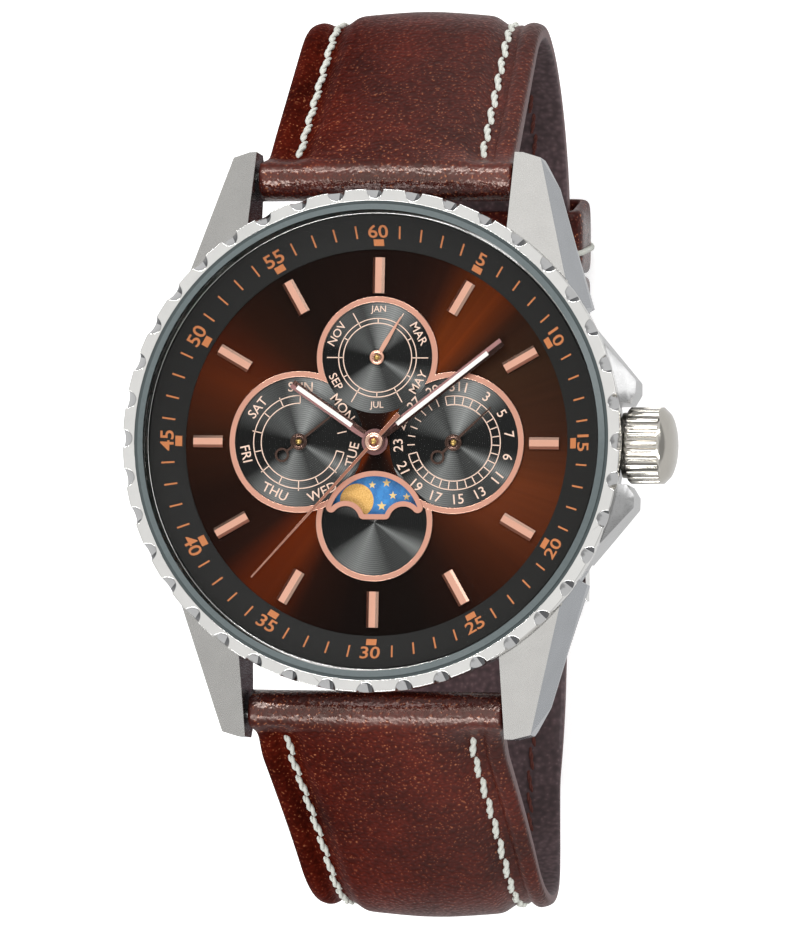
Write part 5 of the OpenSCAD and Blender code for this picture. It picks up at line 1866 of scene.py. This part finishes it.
@dataclass
class Keeper:
    """A closed band of leather round both strap halves.

    It lies on the strap's flat, or round the back curve if it has a path. Its stitch starts and
    runs on by stitch_run, as shares along the band.
    """

    node: str
    body: Body
    path: Optional[StrapPath] = None
    thick: float = 1.1
    corner: float = 1.5
    corner_steps: int = 6
    side_steps: tuple[int, int] = (10, 4)
    gap: float = 0.12
    inner_t: float = 2.5
    start_angle: float = 0.3
    sweep: float = 15.97
    has_stitch: bool = False
    stitch_r: float = 0.26
    stitch_in: float = 2.2
    stitch_lift: float = 0.04
    stitch_sunk: float = 0.25
    stitch_run: Pair = (0.2, 0.24)

    def build(self) -> bpy.types.Object:
        """Builds the band with eased edges.

        Returns:
            The band.
        """
        self._measure()
        draft = Draft()
        rings = []
        for (x, h), (nx, nh) in self._outline():
            rings.append([self._place(x + nx * d, h + nh * d, a) for d, a in self._section()])
        draft.rings(rings, close=True)
        piece = draft.build(self.node + "_leather", self.body, [LEATHER_BAND], Slot.LEATHER)
        refine(piece)
        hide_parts(self.node)
        if self.has_stitch:
            self._add_stitch()
        return piece

    def _measure(self) -> None:
        """Takes the band's size from its plain solid."""
        low, high = box_mm(self.node)
        self.half_w = high.x
        if self.path is None:
            self.low_h, self.high_h = -high.z, -low.z
            self.start, self.stop = low.y, high.y
            return
        self.high_h = self.path.back_z - low.z
        self.low_h = self.path.out_r - self.inner_t - self.gap - self.thick
        self.start = self.start_angle
        self.stop = self.start_angle + self.sweep

    def _place(self, x: float, h: float, a: float) -> Point:
        """A point of the band.

        Args:
            x: Its place across.
            h: Its height outwards, or its distance from the back curve's centre.
            a: Its share along.

        Returns:
            The point.
        """
        s = self.start + (self.stop - self.start) * a
        if self.path is None:
            return x, s, -h
        turn = math.radians(s)
        return x, self.path.back_y + h * math.sin(turn), self.path.back_z - h * math.cos(turn)

    def _section(self) -> list[Pair]:
        """The band's own section, the same at both edges.

        Returns:
            Depth inwards from its outer face, and share along.
        """
        t = self.thick
        half = [(-0.02, 0.5), (-0.02, 0.25), (-0.05, 0.1), (-0.13, 0.045), (-0.32, 0.0),
                (-t + 0.25, 0.0), (-t + 0.04, 0.03), (-t, 0.12), (-t, 0.5)]
        return half + [(depth, 1 - share) for depth, share in reversed(half[1:-1])]

    def _outline(self) -> list[tuple[Pair, Pair]]:
        """The outer face's points going round, each with its normal.

        Returns:
            The points and their normals.
        """
        middle = (self.low_h + self.high_h) / 2
        half_h, r = (self.high_h - self.low_h) / 2, self.corner
        corners = ((1, 1), (-1, 1), (-1, -1), (1, -1))

        def on_corner(number: int, degrees: float) -> tuple[Pair, Pair]:
            """A point on a corner's rounding.

            Args:
                number: The corner's number.
                degrees: The angle on its rounding.

            Returns:
                The point and its normal.
            """
            sx, sh = corners[number % 4]
            n = (math.cos(math.radians(degrees)), math.sin(math.radians(degrees)))
            return ((sx * (self.half_w - r) + r * n[0],
                     middle + sh * (half_h - r) + r * n[1]), n)

        points = []
        for number in range(4):
            points += [on_corner(number, 90 * number + 90 * k / self.corner_steps)
                       for k in range(self.corner_steps + 1)]
            (x0, h0), normal = points[-1]
            (x1, h1), _ = on_corner(number + 1, 90 * (number + 1))
            steps = self.side_steps[number % 2]
            points += [((x0 * (1 - u) + x1 * u, h0 * (1 - u) + h1 * u), normal)
                       for u in (k / steps for k in range(1, steps))]
        return points

    def _add_stitch(self) -> None:
        """One long white stitch round the band's side."""
        draft = Draft()
        ring = [p for p in self._outline() if p[0][0] > self.half_w - self.stitch_in]
        ring.sort(key=lambda p: p[0][1])
        last = len(ring) - 1
        path = []
        for number, ((x, h), (nx, nh)) in enumerate(ring):
            lift = self.stitch_lift if 0 < number < last else -self.stitch_sunk
            share = self.stitch_run[0] + self.stitch_run[1] * number / last
            path.append(self._place(x + nx * lift, h + nh * lift, share))
        draft.tube(np.array(path), [self.stitch_r] * len(path), 10)
        draft.build(self.node + "_stitch", self.body, [THREAD], Slot.LEATHER)


@dataclass(frozen=True)
class Lamp:
    """One area lamp aimed at the watch, with its sizes in millimetres and power in watts."""

    name: str
    way: Point
    away: float
    size: Pair
    power: float

    def build(self) -> None:
        """Hangs the lamp."""
        data = bpy.data.lights.new(self.name, "AREA")
        data.shape = "RECTANGLE"
        data.size, data.size_y = self.size[0] * MM, self.size[1] * MM
        data.energy = self.power
        lamp = bpy.data.objects.new(self.name, data)
        lamp.location = Vector(self.way).normalized() * self.away * MM
        lamp.rotation_mode = "QUATERNION"
        lamp.rotation_quaternion = Vector(self.way).to_track_quat("Z", "Y")
        bpy.context.scene.collection.objects.link(lamp)


@dataclass
class Studio:
    """Camera, floor, world and lamps.

    Low and high tones are what metal mirrors, level with the watch and above it: greys at
    places from the left, 0, to the right, 1.
    """

    distance: float = 700.0
    azimuth: float = 10.2
    elevation: float = 4.3
    roll: float = 1.1
    focal_px: float = 8414.0
    image_h: float = 938.0
    sensor_w: float = 36.0
    aim_px: Pair = (30.1, 29.2)
    target: Point = (0.0, 0.0, 8.5)
    floor_half: float = 6000.0
    floor_tone: float = 0.8
    floor_glow: float = 0.62
    floor_mirrored: float = 0.78
    room_light: float = 0.55
    low_tones: Sequence[Pair] = (
        (0.0, 0.42), (0.2, 0.4), (0.28, 0.1), (0.4, 0.16), (0.47, 0.8), (0.58, 1.0),
        (0.68, 0.66), (0.73, 0.9), (0.78, 0.5), (1.0, 0.36))
    high_tones: Sequence[Pair] = (
        (0.0, 0.42), (0.2, 0.5), (0.36, 0.88), (0.46, 0.96), (0.56, 0.5), (0.68, 0.62),
        (0.73, 0.86), (0.78, 0.5), (1.0, 0.36))
    tones_z: Pair = (0.2, 0.5)
    lamps: Sequence[Lamp] = (
        Lamp("soft_box", (-0.18, -0.52, 0.84), away=620.0, size=(520.0, 120.0), power=2.0),
        Lamp("side_box", (0.75, 0.35, 0.56), away=700.0, size=(300.0, 420.0), power=0.7),
        Lamp("top_box", (-0.16, 0.6, 0.78), away=700.0, size=(640.0, 60.0), power=2.8))

    def build(self) -> None:
        """Sets up everything that isn't part of the watch."""
        self._camera()
        self._floor()
        self._world()
        for lamp in self.lamps:
            lamp.build()
        bpy.context.scene.view_settings.view_transform = "Standard"
        LOG.info("studio ready")

    def _axes(self) -> tuple[Vector, Vector, Vector]:
        """The directions of a level camera.

        Returns:
            Its right, up and backward directions.
        """
        back = Vector((math.tan(math.radians(self.azimuth)),
                       -math.tan(math.radians(self.elevation)), 1)).normalized()
        right = Vector((0, 1, 0)).cross(back).normalized()
        above = back.cross(right)
        return right, above, back

    def _camera(self) -> None:
        """The camera at the photographed viewing angle."""
        right, above, back = self._axes()
        turn = math.radians(self.roll)
        side = right * math.cos(turn) + above * math.sin(turn)
        top = above * math.cos(turn) - right * math.sin(turn)
        where = Vector(self.target) + back * self.distance
        step = self.distance / self.focal_px
        aim = Vector(self.target) + side * (self.aim_px[0] * step) - top * (self.aim_px[1] * step)
        back = (where - aim).normalized()
        side = top.cross(back).normalized()
        top = back.cross(side)
        data = bpy.data.cameras.new("camera")
        data.sensor_width = self.sensor_w
        data.lens = self.focal_px * data.sensor_width / self.image_h
        camera = bpy.data.objects.new("camera", data)
        bpy.context.scene.collection.objects.link(camera)
        camera.matrix_world = Matrix((
            (side.x, top.x, back.x, where.x * MM), (side.y, top.y, back.y, where.y * MM),
            (side.z, top.z, back.z, where.z * MM), (0, 0, 0, 1)))
        bpy.context.scene.camera = camera

    def _floor(self) -> None:
        """A plain pale floor, white to the camera and a little darker in mirrors."""
        half = self.floor_half * MM
        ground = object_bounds()[0].z
        mesh = bpy.data.meshes.new("floor")
        mesh.from_pydata([(-half, -half, ground), (half, -half, ground), (half, half, ground),
                          (-half, half, ground)], [], [(0, 1, 2, 3)])
        bench = Bench("floor_white")
        seen = bench.node("LightPath").outputs
        mirrored = seen["Is Glossy Ray"]
        looked_at = bench.maths("MAXIMUM", seen["Is Camera Ray"], seen["Is Transmission Ray"])
        plain = bench.maths("SUBTRACT", 1.0, mirrored)
        bench.shade(Base_Color=bench.maths("MULTIPLY", plain, self.floor_tone), Roughness=1.0,
                    Specular_IOR_Level=0.0)
        strength = bench.maths("ADD", bench.maths("MULTIPLY", looked_at, self.floor_glow),
                               bench.maths("MULTIPLY", mirrored, self.floor_mirrored))
        glow = bench.node("Emission", Color=(1, 1, 1), Strength=strength).outputs[0]
        both = bench.join("AddShader", bench.shader.outputs[0], glow)
        bench.feed(bench.tree.nodes["Material Output"].inputs["Surface"], both)
        mesh.materials.append(bench.material)
        floor = bpy.data.objects.new("floor", mesh)
        bpy.context.scene.collection.objects.link(floor)
        floor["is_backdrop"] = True

    def _world(self) -> None:
        """A room that is white to the camera, even as light, and light and dark in mirrors."""
        world = bpy.data.worlds.new("room")
        bpy.context.scene.world = world
        world.use_nodes = True
        room = Nodes(world.node_tree)
        plain = room.tree.nodes["Background"]
        room.feed(plain.inputs["Color"], (1, 1, 1))
        room.feed(plain.inputs["Strength"], self.room_light)
        way = room.node("SeparateXYZ", Vector=room.node("TexCoord").outputs["Generated"]).outputs
        across = room.remap(way["X"], (-1.0, 1.0), (0.0, 1.0))
        raised = room.remap(way["Z"], self.tones_z, (0.0, 1.0))
        tones = room.blend(raised, room.ramp(across, self.low_tones),
                           room.ramp(across, self.high_tones))
        mirrored = room.node("Background", Color=tones).outputs[0]
        white = room.node("Background", Color=(1, 1, 1)).outputs[0]
        seen = room.node("LightPath").outputs
        lit = room.join("MixShader", seen["Is Glossy Ray"], plain.outputs[0], mirrored)
        looked_at = room.maths("MAXIMUM", seen["Is Camera Ray"], seen["Is Transmission Ray"])
        whole = room.join("MixShader", looked_at, lit, white)
        room.feed(room.tree.nodes["World Output"].inputs["Surface"], whole)


def main() -> None:
    """Builds the classes in order."""
    logging.basicConfig(level=logging.INFO, format="%(message)s")
    Studio().build()
    for node, finish in PLAIN_FINISHES.items():
        dress(node, [finish])
    Case().build()
    Dial().build()
    Hands().build()
    upper = StrapPath("strap_upper", "spring_bar_upper", sign=1, back_z=-15.5)
    lower = StrapPath("strap_lower", "spring_bar_lower", sign=-1, back_z=-17.5)
    wide_groove = StrapProfile(groove_w=0.3, groove_h=0.3)
    StrapHalf(upper, thick=2.5).build()
    StrapHalf(lower, thick=2.2, lean=1.8, over=upper, profile=wide_groove).build()
    Keeper("keeper_fixed", Body.CASE).build()
    Keeper("keeper_sliding", Body.KEEPER, upper, has_stitch=True).build()


if __name__ == "__main__":
    main()
